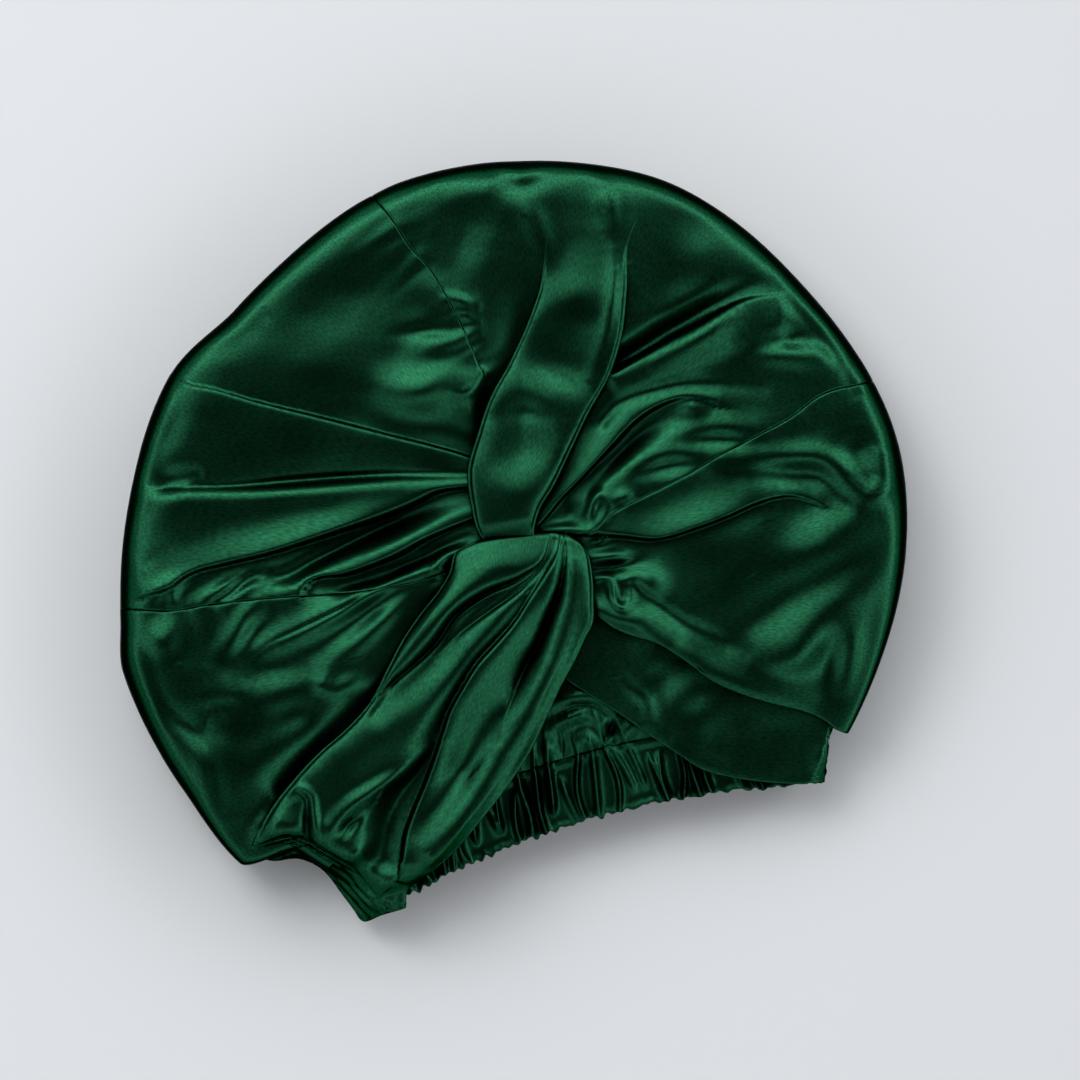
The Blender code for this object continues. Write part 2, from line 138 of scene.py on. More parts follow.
TOP_INNER = ((514, 426), (534, 446), (532, 480), (532, 520), (549, 547))
RIGHT_INNER = ((549, 547), (562, 560), (572, 573), (580, 588))

LEFT_UPPER_FOLDS = (
    Fold("front billow", "ridge", (1.5, 6.5, 0.0), (7, 12),
         ((492, 398), (450, 384), (410, 396), (350, 406))),
    Fold("billow's tip", "ridge", (0.5, 2.4, 0.0), (5, 6),
         ((480, 335), (455, 342), (425, 350), (395, 362))),
    Fold("upper billow", "ridge", (0.5, 2.0, 0.0), (5, 7),
         ((478, 305), (458, 303), (440, 296), (418, 286))),
    Fold("first pleat", "lap", (1.2, 1.6, 0.8), (10, 10),
         ((478, 459), (470, 456), (436, 446), (400, 437), (330, 419), (253, 400), (215, 389), (192, 384),
          (172, 372))),
    Fold("above the first pleat", "hollow", (3.0, 1.8, 0.5), (7, 9),
         ((488, 446), (440, 428), (380, 412), (300, 398))),
    Fold("second pleat", "roll", (1.0, 3.0, 1.4), (7, 8),
         ((470, 477), (455, 477), (436, 477), (400, 477), (349, 480), (291, 484), (243, 487), (196, 488),
          (158, 488))),
    Fold("second pleat's valley", "valley", (0.5, 2.2, 0.8), (1.6, 2.4),
         ((470, 474), (436, 473), (400, 473), (349, 476), (291, 480), (243, 484), (196, 486))),
    Fold("third pleat", "lap", (1.6, 4.6, 2.2), (8, 5),
         ((150, 596), (175, 588), (190, 577), (234, 564), (272, 555), (310, 543), (349, 530), (400, 512),
          (418, 504), (441, 493), (462, 490), (476, 488))),
    Fold("third pleat's shadow", "hollow", (0.0, 4.0, 1.0), (4.5, 2.5),
         ((215, 590), (262, 580), (288, 576), (316, 562), (350, 546), (400, 522))),
    Fold("fourth pleat", "lap", (1.8, 4.2, 1.8), (5, 4),
         ((306, 592), (312, 583), (324, 578), (339, 577), (368, 569), (400, 556), (427, 541), (454, 529),
          (480, 519))),
    Fold("fourth pleat's body", "slope", (0.5, 3.6, 0.5), (5, 5),
         ((466, 500), (430, 520), (384, 540), (330, 562))),
    Fold("fourth pleat's shadow", "hollow", (1.0, 3.0, 0.8), (3.5, 2.0),
         ((318, 591), (345, 587), (380, 579), (420, 560), (470, 536))),
    Fold("low ridge", "ridge", (1.0, 2.2, 0.0), (3, 5), ((480, 506), (430, 524), (380, 548), (310, 570))),
    Fold("gather 1", "ridge", (0.5, 2.2, 0.4), (2, 3), ((250, 572), (225, 588), (200, 603))),
    Fold("gather 2", "ridge", (0.5, 2.2, 0.4), (2, 3), ((270, 578), (245, 590), (226, 603))),
    Fold("gather 3", "ridge", (0.3, 1.6, 0.4), (2, 2.5), ((186, 582), (176, 594), (178, 608))),
    Fold("gather 4", "hollow", (0.5, 2.2, 0.5), (3, 2), ((258, 575), (235, 592), (214, 603))),
    Fold("rim gather", "ridge", (0.5, 2.2, 0.6), (4, 4),
         ((215, 572), (172, 585), (150, 604), (142, 628))),
    Fold("left edge dent", "hollow", (1.2, 3.0, 0.5), (4, 7), ((200, 474), (165, 482), (142, 490))),
    Fold("upper left sweep", "hollow", (0.0, 2.6, 0.0), (14, 16), ((430, 270), (350, 300), (260, 350))),
    Fold("line by the rim", "slope", (0.8, 1.6, 0.8), (3.0, 3.0),
         ((146, 566), (138, 556), (138, 533), (144, 514), (150, 502), (144, 489), (145, 475), (152, 464),
          (161, 441), (173, 416), (177, 387), (182, 368), (192, 356), (208, 348), (236, 336),
          (262, 312))),
    Fold("beside the twist", "hollow", (2.0, 3.4, 0.5), (5, 7), ((490, 446), (488, 405), (498, 366))),
    Fold("seam bump 1", "ridge", (0.3, 1.5, 0.4), (2.0, 2.6), ((448, 297), (462, 303), (478, 308))),
    Fold("seam bump 2", "ridge", (0.3, 1.3, 0.4), (1.8, 2.2), ((456, 317), (468, 319), (480, 323))),
    Fold("seam crease", "hollow", (0.2, 1.4, 0.6), (2.5, 3), ((390, 337), (430, 333), (466, 333))),
    Fold("seam hook", "ridge", (0.8, 1.8, 0.3), (2.2, 2.4),
         ((484, 372), (474, 390), (462, 395), (450, 391))),
)
LEFT_LOWER_FOLDS = (
    Fold("long ridge", "ridge", (1.5, 3.6, 0.8), (3, 6),
         ((490, 546), (459, 556), (430, 570), (400, 577), (370, 592), (330, 616), (291, 637), (258, 653),
          (236, 676), (238, 690))),
    Fold("long ridge's crease", "valley", (0.5, 1.8, 0.3), (1.2, 2.0),
         ((400, 571), (377, 585), (349, 604), (320, 619), (291, 633), (272, 642), (255, 655))),
    Fold("second ridge", "ridge", (1.0, 3.6, 1.2), (3, 6),
         ((478, 565), (437, 580), (405, 594), (380, 620), (358, 642), (337, 659), (324, 682))),
    Fold("hook", "ridge", (1.0, 2.0, 0.0), (4, 5), ((324, 682), (336, 688), (352, 682), (372, 668))),
    Fold("between the ridges", "hollow", (1.0, 3.2, 0.8), (3, 6),
         ((455, 572), (410, 590), (365, 618), (320, 650))),
    Fold("small ridge", "ridge", (0.8, 2.6, 0.5), (4, 5),
         ((262, 600), (250, 612), (236, 638), (216, 668))),
    Fold("small ridge's side", "hollow", (0.6, 2.2, 0.5), (4, 5), ((280, 612), (262, 630), (245, 655))),
    Fold("lens's lower side", "slope", (0.6, 3.8, 0.3), (8, 8), ((340, 662), (270, 682), (190, 664))),
    Fold("dark line", "hollow", (0.2, 1.0, 0.2), (4, 5), ((196, 712), (222, 706), (252, 702))),
    Fold("side lump", "ridge", (0.2, 2.2, 0.2), (5, 8), ((188, 625), (165, 640), (150, 660))),
    Fold("left lump", "slope", (0.3, 3.0, 0.5), (8, 8), ((240, 722), (205, 736), (180, 716))),
    Fold("tuck under the sash", "hollow", (0.5, 3.2, 3.2), (4, 9),
         ((440, 640), (385, 690), (335, 735), (290, 790))),
    Fold("low billow", "ridge", (0.0, 3.0, 0.8), (8, 12),
         ((340, 715), (300, 735), (255, 770), (235, 810))),
    Fold("low dent", "hollow", (0.0, 2.6, 0.0), (8, 9), ((330, 700), (290, 715), (262, 735))),
    Fold("rim dent", "hollow", (0.0, 2.6, 0.0), (8, 10), ((170, 690), (190, 740), (215, 780))),
    Fold("end fold", "ridge", (0.5, 2.4, 0.5), (3, 4), ((276, 800), (262, 825), (246, 846))),
    Fold("knot ridge", "ridge", (0.8, 2.4, 0.6), (1.8, 2.6),
         ((470, 548), (445, 556), (438, 566), (446, 580), (432, 594))),
    Fold("line by the rim", "slope", (0.8, 1.6, 0.8), (3.0, 3.0),
         ((216, 812), (213, 780), (205, 751), (186, 732), (171, 723), (155, 690), (144, 659), (138, 646),
          (136, 612))),
)
TOP_RIGHT_FOLDS = (
    Fold("beside the twist", "lap", (1.5, 3.8, 0.8), (4, 8),
         ((534, 533), (548, 518), (561, 502), (580, 483), (596, 466), (614, 447), (636, 424), (660, 408),
          (688, 400), (712, 405))),
    Fold("under that ridge", "hollow", (0.8, 3.6, 0.8), (3, 7),
         ((590, 490), (618, 457), (640, 436), (672, 420), (700, 418))),
    Fold("above that ridge", "hollow", (1.4, 2.2, 0.5), (3, 4),
         ((600, 425), (619, 404), (648, 393), (677, 386), (715, 386), (763, 388))),
    Fold("deep lap", "lap", (0.3, 3.4, 3.2), (8, 6),
         ((774, 296), (745, 300), (722, 310), (700, 323), (665, 341), (638, 357), (612, 372))),
    Fold("deep lap's valley", "hollow", (0.8, 4.0, 3.0), (5, 4),
         ((768, 284), (743, 289), (715, 303), (692, 317), (665, 332), (638, 349), (612, 365))),
    Fold("middle ridge", "ridge", (1.0, 3.6, 1.4), (6, 7),
         ((622, 392), (670, 364), (725, 342), (775, 336))),
    Fold("upper wave", "ridge", (0.8, 2.6, 0.6), (4, 6),
         ((650, 364), (690, 342), (730, 322), (776, 312))),
    Fold("side ridge", "ridge", (0.3, 3.2, 1.0), (5, 6),
         ((738, 366), (775, 356), (805, 358), (838, 368))),
    Fold("side dent", "hollow", (0.3, 3.4, 0.6), (4, 7), ((750, 346), (790, 342), (826, 346))),
    Fold("low wave", "ridge", (0.3, 1.6, 0.3), (5, 6), ((664, 438), (700, 426), (745, 430), (800, 420))),
    Fold("low wave's valley", "hollow", (0.3, 2.2, 0.3), (3, 4), ((676, 444), (715, 440), (760, 442))),
    Fold("spot", "ridge", (0.2, 2.0, 0.2), (4, 4), ((672, 412), (690, 408), (712, 416))),
    Fold("seam wave", "ridge", (0.2, 0.9, 0.2), (3.5, 4), ((630, 462), (672, 454), (724, 455))),
    Fold("seam valley", "hollow", (0.6, 2.2, 0.3), (3, 4), ((634, 476), (668, 467), (700, 462))),
    Fold("upper sweep", "slope", (0.6, 4.2, 0.6), (12, 13), ((765, 240), (700, 238), (636, 262))),
    Fold("upper dip", "slope", (0.4, 3.2, 0.4), (10, 11), ((745, 276), (690, 296), (636, 320))),
    Fold("triangle's line", "ridge", (0.8, 2.2, 1.6), (1.8, 2.2), ((540, 530), (566, 529), (590, 532))),
    Fold("triangle's side", "ridge", (0.8, 2.6, 1.0), (2.0, 2.4),
         ((589, 531), (591, 510), (598, 495), (606, 503), (602, 522))),
    Fold("triangle", "hollow", (0.5, 2.6, 0.5), (4, 5), ((555, 522), (572, 514), (582, 502))),
    Fold("knot spot", "ridge", (0.4, 1.8, 0.4), (2.5, 3), ((612, 502), (622, 497), (634, 502))),
    Fold("left of the twist", "hollow", (2.0, 4.0, 0.3), (8, 12),
         ((500, 415), (512, 370), (524, 320), (530, 260))),
    Fold("top dent", "slope", (0.3, 3.0, 0.3), (12, 12), ((440, 196), (475, 205), (505, 214))),
    Fold("twist's left root", "ridge", (0.2, 2.2, 0.2), (6, 6),
         ((548, 290), (542, 245), (524, 210), (490, 192))),
    Fold("twist's right root", "ridge", (0.3, 2.0, 0.2), (4, 5),
         ((612, 250), (610, 215), (600, 186), (585, 172))),
    Fold("line by the rim", "slope", (0.6, 2.2, 1.0), (2.6, 2.6),
         ((768, 270), (784, 291), (807, 318), (830, 343), (846, 368), (860, 392))),
    Fold("top line", "slope", (0.6, 2.2, 0.6), (3, 3),
         ((440, 186), (465, 175), (494, 169), (519, 183), (551, 171), (580, 175), (600, 188))),
)
RIGHT_LOWER_FOLDS = (
    Fold("broad ridge", "lap", (2.4, 3.4, 0.8), (6, 7),
         ((596, 536), (620, 538), (657, 541), (692, 531), (727, 518), (759, 504), (790, 498),
          (812, 504))),
    Fold("side ridge", "ridge", (0.4, 3.2, 2.0), (5, 6),
         ((715, 462), (745, 458), (784, 456), (826, 462), (846, 482), (866, 494), (884, 484),
          (886, 455))),
    Fold("side ridge's dark", "hollow", (0.4, 3.2, 1.0), (4, 7),
         ((735, 476), (785, 476), (826, 482), (846, 500))),
    Fold("side pocket", "hollow", (0.4, 2.2, 0.4), (8, 9), ((850, 425), (856, 450), (856, 475))),
    Fold("small lens", "ridge", (0.4, 1.6, 0.3), (1.8, 2.2), ((590, 546), (600, 541), (612, 540))),
    Fold("large lens", "ridge", (1.2, 2.8, 0.3), (2.8, 3), ((586, 558), (604, 556), (636, 557))),
    Fold("under the lens", "hollow", (1.5, 2.8, 0.5), (2.5, 3.5), ((586, 570), (612, 568), (650, 562))),
    Fold("crumple", "ridge", (1.2, 3.0, 1.0), (1.8, 2.0),
         ((594, 579), (607, 577), (611, 590), (614, 601), (621, 606), (629, 600), (630, 590),
          (625, 579))),
    Fold("crumple's shoulder", "ridge", (1.0, 3.4, 0.8), (4, 8), ((628, 570), (648, 580), (668, 600))),
    Fold("shoulder's crease", "hollow", (1.0, 1.8, 0.6), (2.2, 4.5),
         ((630, 584), (651, 600), (688, 626), (714, 638), (745, 654))),
    Fold("lower band", "ridge", (1.4, 3.4, 0.8), (4, 6),
         ((596, 606), (612, 614), (640, 618), (672, 638))),
    Fold("rolled edge", "ridge", (1.4, 2.0, 0.8), (4, 6),
         ((600, 608), (640, 629), (690, 656), (745, 685), (815, 706), (840, 722))),
    Fold("hill", "slope", (1.0, 4.4, 0.8), (10, 10), ((868, 498), (815, 528), (760, 568))),
    Fold("under the broad ridge", "slope", (0.3, 3.0, 0.3), (8, 9), ((636, 558), (700, 546), (756, 526))),
    Fold("diamond", "slope", (1.6, 5.2, 1.4), (8, 9),
         ((890, 552), (850, 574), (815, 598), (772, 628), (735, 650), (704, 666))),
    Fold("lower slope", "ridge", (0.0, 2.6, 0.4), (7, 8), ((750, 672), (800, 650), (835, 625))),
    Fold("corner", "ridge", (0.2, 2.6, 0.8), (6, 6), ((848, 600), (850, 640), (844, 690), (846, 722))),
    Fold("corner's dark", "hollow", (0.2, 2.4, 0.6), (7, 7), ((822, 618), (828, 660), (826, 695))),
)
TWIST_FOLDS = (
    Fold("upper slant", "slope", (0.4, 3.6, 0.4), (6, 7), ((614, 246), (582, 226), (544, 206))),
    Fold("middle dark", "slope", (0.4, 2.4, 0.4), (9, 9), ((534, 300), (575, 306), (618, 302))),
    Fold("bend", "slope", (0.6, 3.6, 1.0), (7, 8), ((604, 408), (556, 384), (500, 362))),
    Fold("below the bend", "hollow", (0.2, 1.6, 0.4), (5, 5), ((560, 420), (525, 412), (492, 420))),
    Fold("lobe", "slope", (1.0, 4.6, 1.0), (13, 13), ((566, 466), (524, 470), (480, 466))),
    Fold("right rim", "ridge", (0.8, 1.8, 0.4), (2.4, 3),
         ((600, 184), (610, 235), (612, 290), (606, 330), (588, 380))),
)
SASH_FOLDS = (
    Fold("first valley", "valley", (0.9, 4.4, 3.2), (1.0, 3.2),
         ((551, 535), (544, 560), (523, 577), (486, 594), (456, 616), (437, 643), (420, 660), (400, 677),
          (374, 700))),
    Fold("first hollow", "hollow", (0.5, 3.6, 2.0), (2, 7),
         ((553, 540), (546, 562), (526, 580), (492, 600), (464, 622), (440, 652), (410, 682),
          (376, 708))),
    Fold("first side valley", "valley", (0.5, 1.8, 0.2), (0.8, 2.2),
         ((555, 535), (551, 555), (538, 573), (520, 589), (489, 611), (456, 636), (436, 655))),
    Fold("second lap", "lap", (0.5, 2.6, 3.4), (1.6, 9),
         ((559, 535), (557, 550), (546, 570), (530, 595), (511, 624), (495, 642), (477, 662), (462, 686),
          (449, 710), (441, 734), (433, 758), (425, 780), (413, 808), (404, 834), (401, 858))),
    Fold("second hollow", "hollow", (0.4, 2.6, 3.0), (1.8, 8),
         ((557, 540), (544, 572), (508, 626), (474, 666), (446, 712), (430, 745), (412, 780), (392, 822),
          (384, 860))),
    Fold("third valley", "valley", (1.0, 4.4, 0.4), (1.2, 3.4),
         ((565, 535), (564, 563), (559, 590), (549, 616), (539, 641), (524, 669), (513, 694), (505, 716),
          (500, 740))),
    Fold("third hollow", "hollow", (0.6, 4.4, 0.3), (1.6, 8),
         ((564, 545), (560, 590), (548, 620), (536, 648), (520, 680), (508, 712), (496, 752))),
    Fold("hollow of the end", "hollow", (0.5, 4.0, 3.0), (3, 8),
         ((437, 742), (424, 762), (404, 786), (388, 812), (377, 845), (366, 888))),
    Fold("hem ridge", "ridge", (0.5, 3.0, 0.8), (3, 4),
         ((444, 738), (424, 752), (404, 770), (374, 789), (353, 803), (338, 818), (327, 836),
          (332, 850))),
    Fold("hem loop", "hollow", (0.2, 2.8, 0.2), (2, 3), ((366, 808), (350, 824), (338, 842))),
    Fold("hem lower ridge", "ridge", (0.4, 2.6, 0.3), (3, 4),
         ((330, 850), (344, 858), (364, 848), (380, 826))),
    Fold("end pleat", "valley", (1.0, 3.6, 2.8), (2.4, 2.6),
         ((298, 790), (306, 796), (308, 816), (309, 836), (312, 866))),
    Fold("end pleat's edge", "ridge", (0.8, 2.0, 1.0), (1.8, 2.0),
         ((290, 790), (301, 785), (313, 792), (316, 808), (318, 862))),
    Fold("broad fold", "ridge", (0.5, 2.4, 0.6), (8, 11), ((470, 650), (400, 722), (330, 775))),
    Fold("middle rib", "slope", (0.8, 4.2, 1.4), (4, 9),
         ((524, 596), (470, 650), (426, 712), (386, 784))),
    Fold("right rib", "slope", (0.6, 3.4, 1.2), (5, 9), ((536, 660), (502, 716), (470, 776), (432, 846))),
    Fold("inner rib", "slope", (0.3, 2.2, 0.6), (3, 5), ((556, 585), (536, 632), (512, 684))),
    Fold("left fold", "ridge", (0.4, 2.6, 0.6), (6, 7), ((520, 560), (470, 585), (432, 625), (395, 668))),
    Fold("right body", "ridge", (0.3, 2.4, 2.0), (3, 8),
         ((574, 560), (568, 620), (540, 690), (504, 750), (460, 812), (430, 850))),
    Fold("low dent", "hollow", (0.3, 2.0, 0.3), (5, 8), ((486, 730), (462, 770), (444, 805))),
    Fold("tip dark", "slope", (4.0, 6.0, 3.0), (7, 7), ((262, 842), (330, 860), (392, 878))),
    Fold("rib's end", "slope", (1.0, 4.4, 1.4), (8, 8), ((468, 780), (436, 826), (406, 868))),
)
FLAP_FOLDS = (
    Fold("crease", "ridge", (0.3, 1.6, 0.6), (3, 4),
         ((612, 664), (628, 684), (646, 702), (652, 722), (668, 736))),
    Fold("upper spot", "slope", (0.6, 3.6, 0.6), (7, 8), ((700, 668), (660, 668), (624, 676))),
    Fold("lower spot", "slope", (0.6, 3.8, 0.6), (8, 9), ((735, 696), (690, 706), (650, 720))),
    Fold("end", "hollow", (0.3, 1.0, 0.3), (9, 9), ((745, 730), (785, 738), (812, 748))),
    Fold("side", "ridge", (0.3, 2.0, 0.8), (5, 5), ((824, 735), (820, 760), (817, 782))),
    Fold("lower side", "ridge", (0.2, 2.0, 0.3), (6, 6), ((640, 722), (700, 762), (770, 778))),
)
GATHER_FOLDS = (
    Fold("upper puff", "ridge", (1.5, 4.0, 1.5), (4, 4),
         ((546, 708), (562, 700), (584, 696), (604, 703), (614, 718))),
    Fold("lower puff", "ridge", (1.5, 3.8, 1.5), (3.4, 3.4),
         ((548, 730), (566, 719), (586, 713), (602, 722))),
    Fold("between the puffs", "valley", (0.6, 2.0, 0.6), (2, 2),
         ((556, 715), (574, 706), (596, 706), (608, 716))),
    Fold("puff's side", "valley", (0.8, 4.0, 1.5), (2.4, 3), ((616, 712), (610, 732), (600, 750))),
    Fold("puff's body", "ridge", (0.8, 3.4, 1.0), (6, 6), ((590, 724), (588, 740), (582, 756))),
    Fold("left puff", "ridge", (0.4, 1.6, 0.6), (3, 3), ((556, 738), (548, 752), (552, 768))),
    Fold("left valley", "valley", (0.4, 2.2, 1.2), (2, 2.4), ((560, 726), (562, 745), (564, 762))),
    Fold("right puff", "ridge", (0.8, 3.2, 1.2), (4, 4), ((640, 716), (628, 730), (622, 746))),
)

TWIST_LEFT = (
    (556, 200), (550, 226), (541, 293), (531, 322), (511, 366), (493, 399), (480, 437), (471, 470),
    (474, 504), (483, 536), (492, 548),
)
TWIST_RIGHT = (
    (655, 186), (640, 212), (626, 245), (624, 290), (618, 341), (607, 376), (586, 414), (568, 452),
    (551, 487), (537, 511), (532, 534), (533, 546),
)
SASH_LEFT = (
    (470, 546), (459, 551), (452, 572), (440, 592), (424, 612), (405, 640), (392, 665), (374, 700),
    (347, 730), (324, 750), (297, 779), (278, 803), (265, 825), (252, 856),
)
SASH_RIGHT = (
    (578, 540), (585, 551), (590, 575), (591, 600), (590, 622), (583, 636), (573, 658), (560, 682),
    (546, 712), (527, 752), (503, 788), (478, 820), (451, 852), (426, 874), (405, 893), (404, 908),
)
SASH_TOP = (
    (470, 546), (480, 541), (496, 537), (514, 534), (533, 532), (552, 532), (568, 534), (578, 540),
)
SASH_END = (
    (252, 856), (273, 861), (300, 859), (320, 868), (341, 894), (353, 910), (362, 922), (382, 915),
    (404, 908),
)
FLAP_TOP = ((572, 548), (590, 580), (620, 600), (660, 630), (720, 668), (780, 690), (838, 712))
FLAP_BOTTOM = (
    (545, 585), (548, 640), (565, 676), (589, 693), (616, 710), (650, 734), (679, 753), (703, 768),
    (732, 776), (771, 782), (829, 784),
)
FLAP_START = ((572, 548), (555, 565), (545, 585))
FLAP_END = ((838, 712), (834, 728), (829, 750), (829, 784))

# Heights over the crown along the twist, in MM: share of the way, edges, middle
TWIST_HEIGHTS = (
    (0.0, 0.4, 0.4),
    (0.2, 0.8, 3.2),
    (0.4, 2.4, 5.0),
    (0.6, 3.2, 6.4),
    (0.8, 4.2, 9.2),
    (0.92, 3.6, 6.5),
    (1.0, 1.6, 0.0),
)

# The same along the sash: share of the way, left edge, middle, right edge
SASH_HEIGHTS = (
    (0.0, 3.0, 4.5, 3.5),
    (0.1, 3.0, 9.0, 5.0),
    (0.3, 2.6, 9.5, 8.0),
    (0.55, 2.4, 8.5, 10.0),
    (0.75, 2.4, 8.0, 11.0),
    (0.88, 2.4, 8.0, 9.0),
    (0.96, 2.4, 3.6, 2.6),
    (1.0, 2.4, 3.0, 2.4),
)

SATIN_GREEN = (0.0105, 0.081, 0.037, 1.0)
SATIN_ROUGHNESS = 0.34
INNER_GREEN = (0.0095, 0.074, 0.034, 1.0)
INNER_ROUGHNESS = 0.36
SATIN_RELIEF = 0.5
FLOOR_GREY = (0.672, 0.696, 0.716, 1.0)


def eased_curve(rows, places):
    """Smooth heights, with no overshoot, at places along (place, height) rows."""
    knots = np.array([row[0] for row in rows], float)
    heights = np.array([row[1] for row in rows], float)
    spans = np.diff(knots)
    slopes = np.diff(heights) / spans
    tangents = np.zeros(len(rows))
    before, after = slopes[:-1], slopes[1:]
    same = before * after > 0
    tangents[1:-1][same] = 2 / (1 / before[same] + 1 / after[same])
    places = np.clip(places, knots[0], knots[-1])
    k = np.clip(np.searchsorted(knots, places, side="right") - 1, 0, len(spans) - 1)
    t = (places - knots[k]) / spans[k]
    return (
        heights[k]
        + (heights[k + 1] - heights[k]) * t * t * (3 - 2 * t)
        + tangents[k] * spans[k] * t * (1 - t) ** 2
        - tangents[k + 1] * spans[k] * t * t * (1 - t)
    )


def plan(path):
    """Places in the photograph as places in the plan round the knot, in metres."""
    across, down = np.array(path, float).T
    u = (across - KNOT_PIXEL[0]) * PIXEL
    v = (KNOT_PIXEL[1] - down) * PIXEL
    return np.stack((u * math.cos(TURN) + v * math.sin(TURN), v * math.cos(TURN) - u * math.sin(TURN)), -1)


def smooth_path(path, count=49):
    """Points of a smooth curve through a path given in the photograph, in the plan."""
    points = plan(path)
    places = np.concatenate(((0.0,), np.cumsum(np.hypot(*np.diff(points, axis=0).T))))
    tangents = np.gradient(points, places, axis=0)
    wanted = np.linspace(0, places[-1], count)
    k = np.clip(np.searchsorted(places, wanted, side="right") - 1, 0, len(places) - 2)
    span = (places[k + 1] - places[k])[:, None]
    t = (wanted - places[k])[:, None] / span
    return (
        points[k] * (1 + 2 * t) * (1 - t) ** 2
        + points[k + 1] * t * t * (3 - 2 * t)
        + tangents[k] * span * t * (1 - t) ** 2
        - tangents[k + 1] * span * t * t * (1 - t)
    )


def at_share(curve, shares):
    """Points of an evenly drawn curve at shares of its length."""
    own = np.linspace(0, 1, len(curve))
    return np.stack([np.interp(shares, own, curve[:, axis]) for axis in (0, 1)], -1)


def rim_radius(angle):
    turned = (angle - OUTLINE[0][0]) % 360 + OUTLINE[0][0]
    return CROWN_RADIUS * eased_curve(OUTLINE, turned)


def crown_height(x, y):
    """Height of the smooth front, and of cloth draped past its rim."""
    radius = np.hypot(x, y)
    rim = rim_radius(np.degrees(np.arctan2(y, x)))
    dome = np.sqrt(1 - np.minimum(radius / rim, 1) ** CROWN_FULLNESS)
    slope = MOUTH_HEIGHT + MOUTH_RISE * (y + MOUTH_BELOW_KNOT)
    over = np.exp(-dome * (CROWN_DEPTH - RIM_HEIGHT) / MOUTH_BLEND)
    under = np.exp(-np.maximum(slope - RIM_HEIGHT, 0) / MOUTH_BLEND)
    inside = RIM_HEIGHT - MOUTH_BLEND * np.log(over + under - over * under)
    draped = np.maximum(RIM_HEIGHT - DRAPE_SLOPE * (radius - rim), DRAPE_LOWEST)
    return np.where(radius > rim, draped, inside)


def draped_height(x, y):
    """Height of cloth that lies over the front and its rim, and bridges sharp turns."""
    heights = 2 * crown_height(x, y)
    total = 2
    for reach, turns in ((3.5 * MM, 6), (7 * MM, 8)):
        for turn in range(turns):
            angle = 2 * math.pi * turn / turns
            heights = heights + crown_height(x + reach * math.cos(angle), y + reach * math.sin(angle))
            total += 1
    return heights / total


def upward(x, y, height, step=0.4 * MM):
    """Outward directions of a height over the plan."""
    slope_x = (height(x + step, y) - height(x - step, y)) / (2 * step)
    slope_y = (height(x, y + step) - height(x, y - step)) / (2 * step)
    normal = np.stack((-slope_x, -slope_y, np.ones_like(slope_x)), -1)
    return normal / np.linalg.norm(normal, axis=-1, keepdims=True)


def nearest(places, curve):
    """Distance from places to a curve, positive on its left, and where along it that is.

    The place along it is a share of its length, and the last result is the distance past its ends.
    """
    steps = np.diff(curve, axis=0)
    lengths = np.hypot(*steps.T)
    done = np.concatenate(((0.0,), np.cumsum(lengths)))
    best = np.full(len(places), np.inf)
    side = np.ones(len(places))
    share = np.zeros(len(places))
    beyond = np.zeros(len(places))
    for start, step, length, before in zip(curve, steps, lengths, done):
        away = places - start
        along = np.clip(away @ step / length**2, 0, 1)
        distance = np.hypot(*(away - along[:, None] * step).T)
        closer = distance < best
        best[closer] = distance[closer]
        side[closer] = np.where(step[0] * away[closer, 1] - step[1] * away[closer, 0] < 0, -1, 1)
        share[closer] = (before + along[closer] * length) / done[-1]
    ends = ((curve[0], curve[0] - curve[1], 0.0), (curve[-1], curve[-1] - curve[-2], 1.0))
    for end, outwards, share_there in ends:
        past = (places - end) @ (outwards / np.hypot(*outwards))
        beyond = np.where(share == share_there, np.maximum(past, 0), beyond)
    return best * side, share, beyond


def fold_profile(kind, distance, width):
    """Share of a fold's rise at a distance from its line."""
    s = distance / width
    if kind == "ridge":
        return np.exp(-s * s)
    if kind == "hollow":
        return -np.exp(-s * s)
    if kind == "valley":
        return -np.exp(-1.5 * np.abs(s))
    if kind == "slope":
        return np.tanh(s) * np.exp(-s * s / 4)
    edge = LAP_EDGE if kind == "lap" else ROLL_EDGE
    over = 1 - (1 - np.clip(distance / edge, 0, 1)) ** 3
    return (2 * over - 1) * np.exp(-s * s * np.where(s > 0, 0.5, 0.6))


def fold_heights(places, folds):
    """Height that a table of folds adds at places in the plan."""
    shape = places.shape[:-1]
    places = places.reshape(-1, 2)
    total = np.zeros(len(places))
    for fold in folds:
        curve = smooth_path(fold.path)
        reach = 4 * max(fold.width) * MM
        low, high = curve.min(axis=0) - reach, curve.max(axis=0) + reach
        inside = np.all((places > low) & (places < high), axis=1)
        distance, share, beyond = nearest(places[inside], curve)
        start, middle, end = fold.rise
        rise = eased_curve(((0, start), (0.5, middle), (1, end)), share) * MM
        width = (fold.width[0] + (fold.width[1] - fold.width[0]) * share) * MM
        end_fade = np.exp(-((beyond / (0.8 * width)) ** 2))
        total[inside] += rise * fold_profile(fold.kind, distance, width) * end_fade
    return total.reshape(shape)


def waves(x, y, length, seed, count=24):
    """Soft random unevenness of about one height, with waves of about a length."""
    random = np.random.default_rng(seed)
    total = np.zeros_like(x)
    for _ in range(count):
        turn = random.uniform(0, 2 * math.pi)
        number = 2 * math.pi / (length * random.uniform(0.7, 1.6))
        total += np.sin(number * (x * math.cos(turn) + y * math.sin(turn)) + random.uniform(0, 2 * math.pi))
    return total * math.sqrt(2 / count)


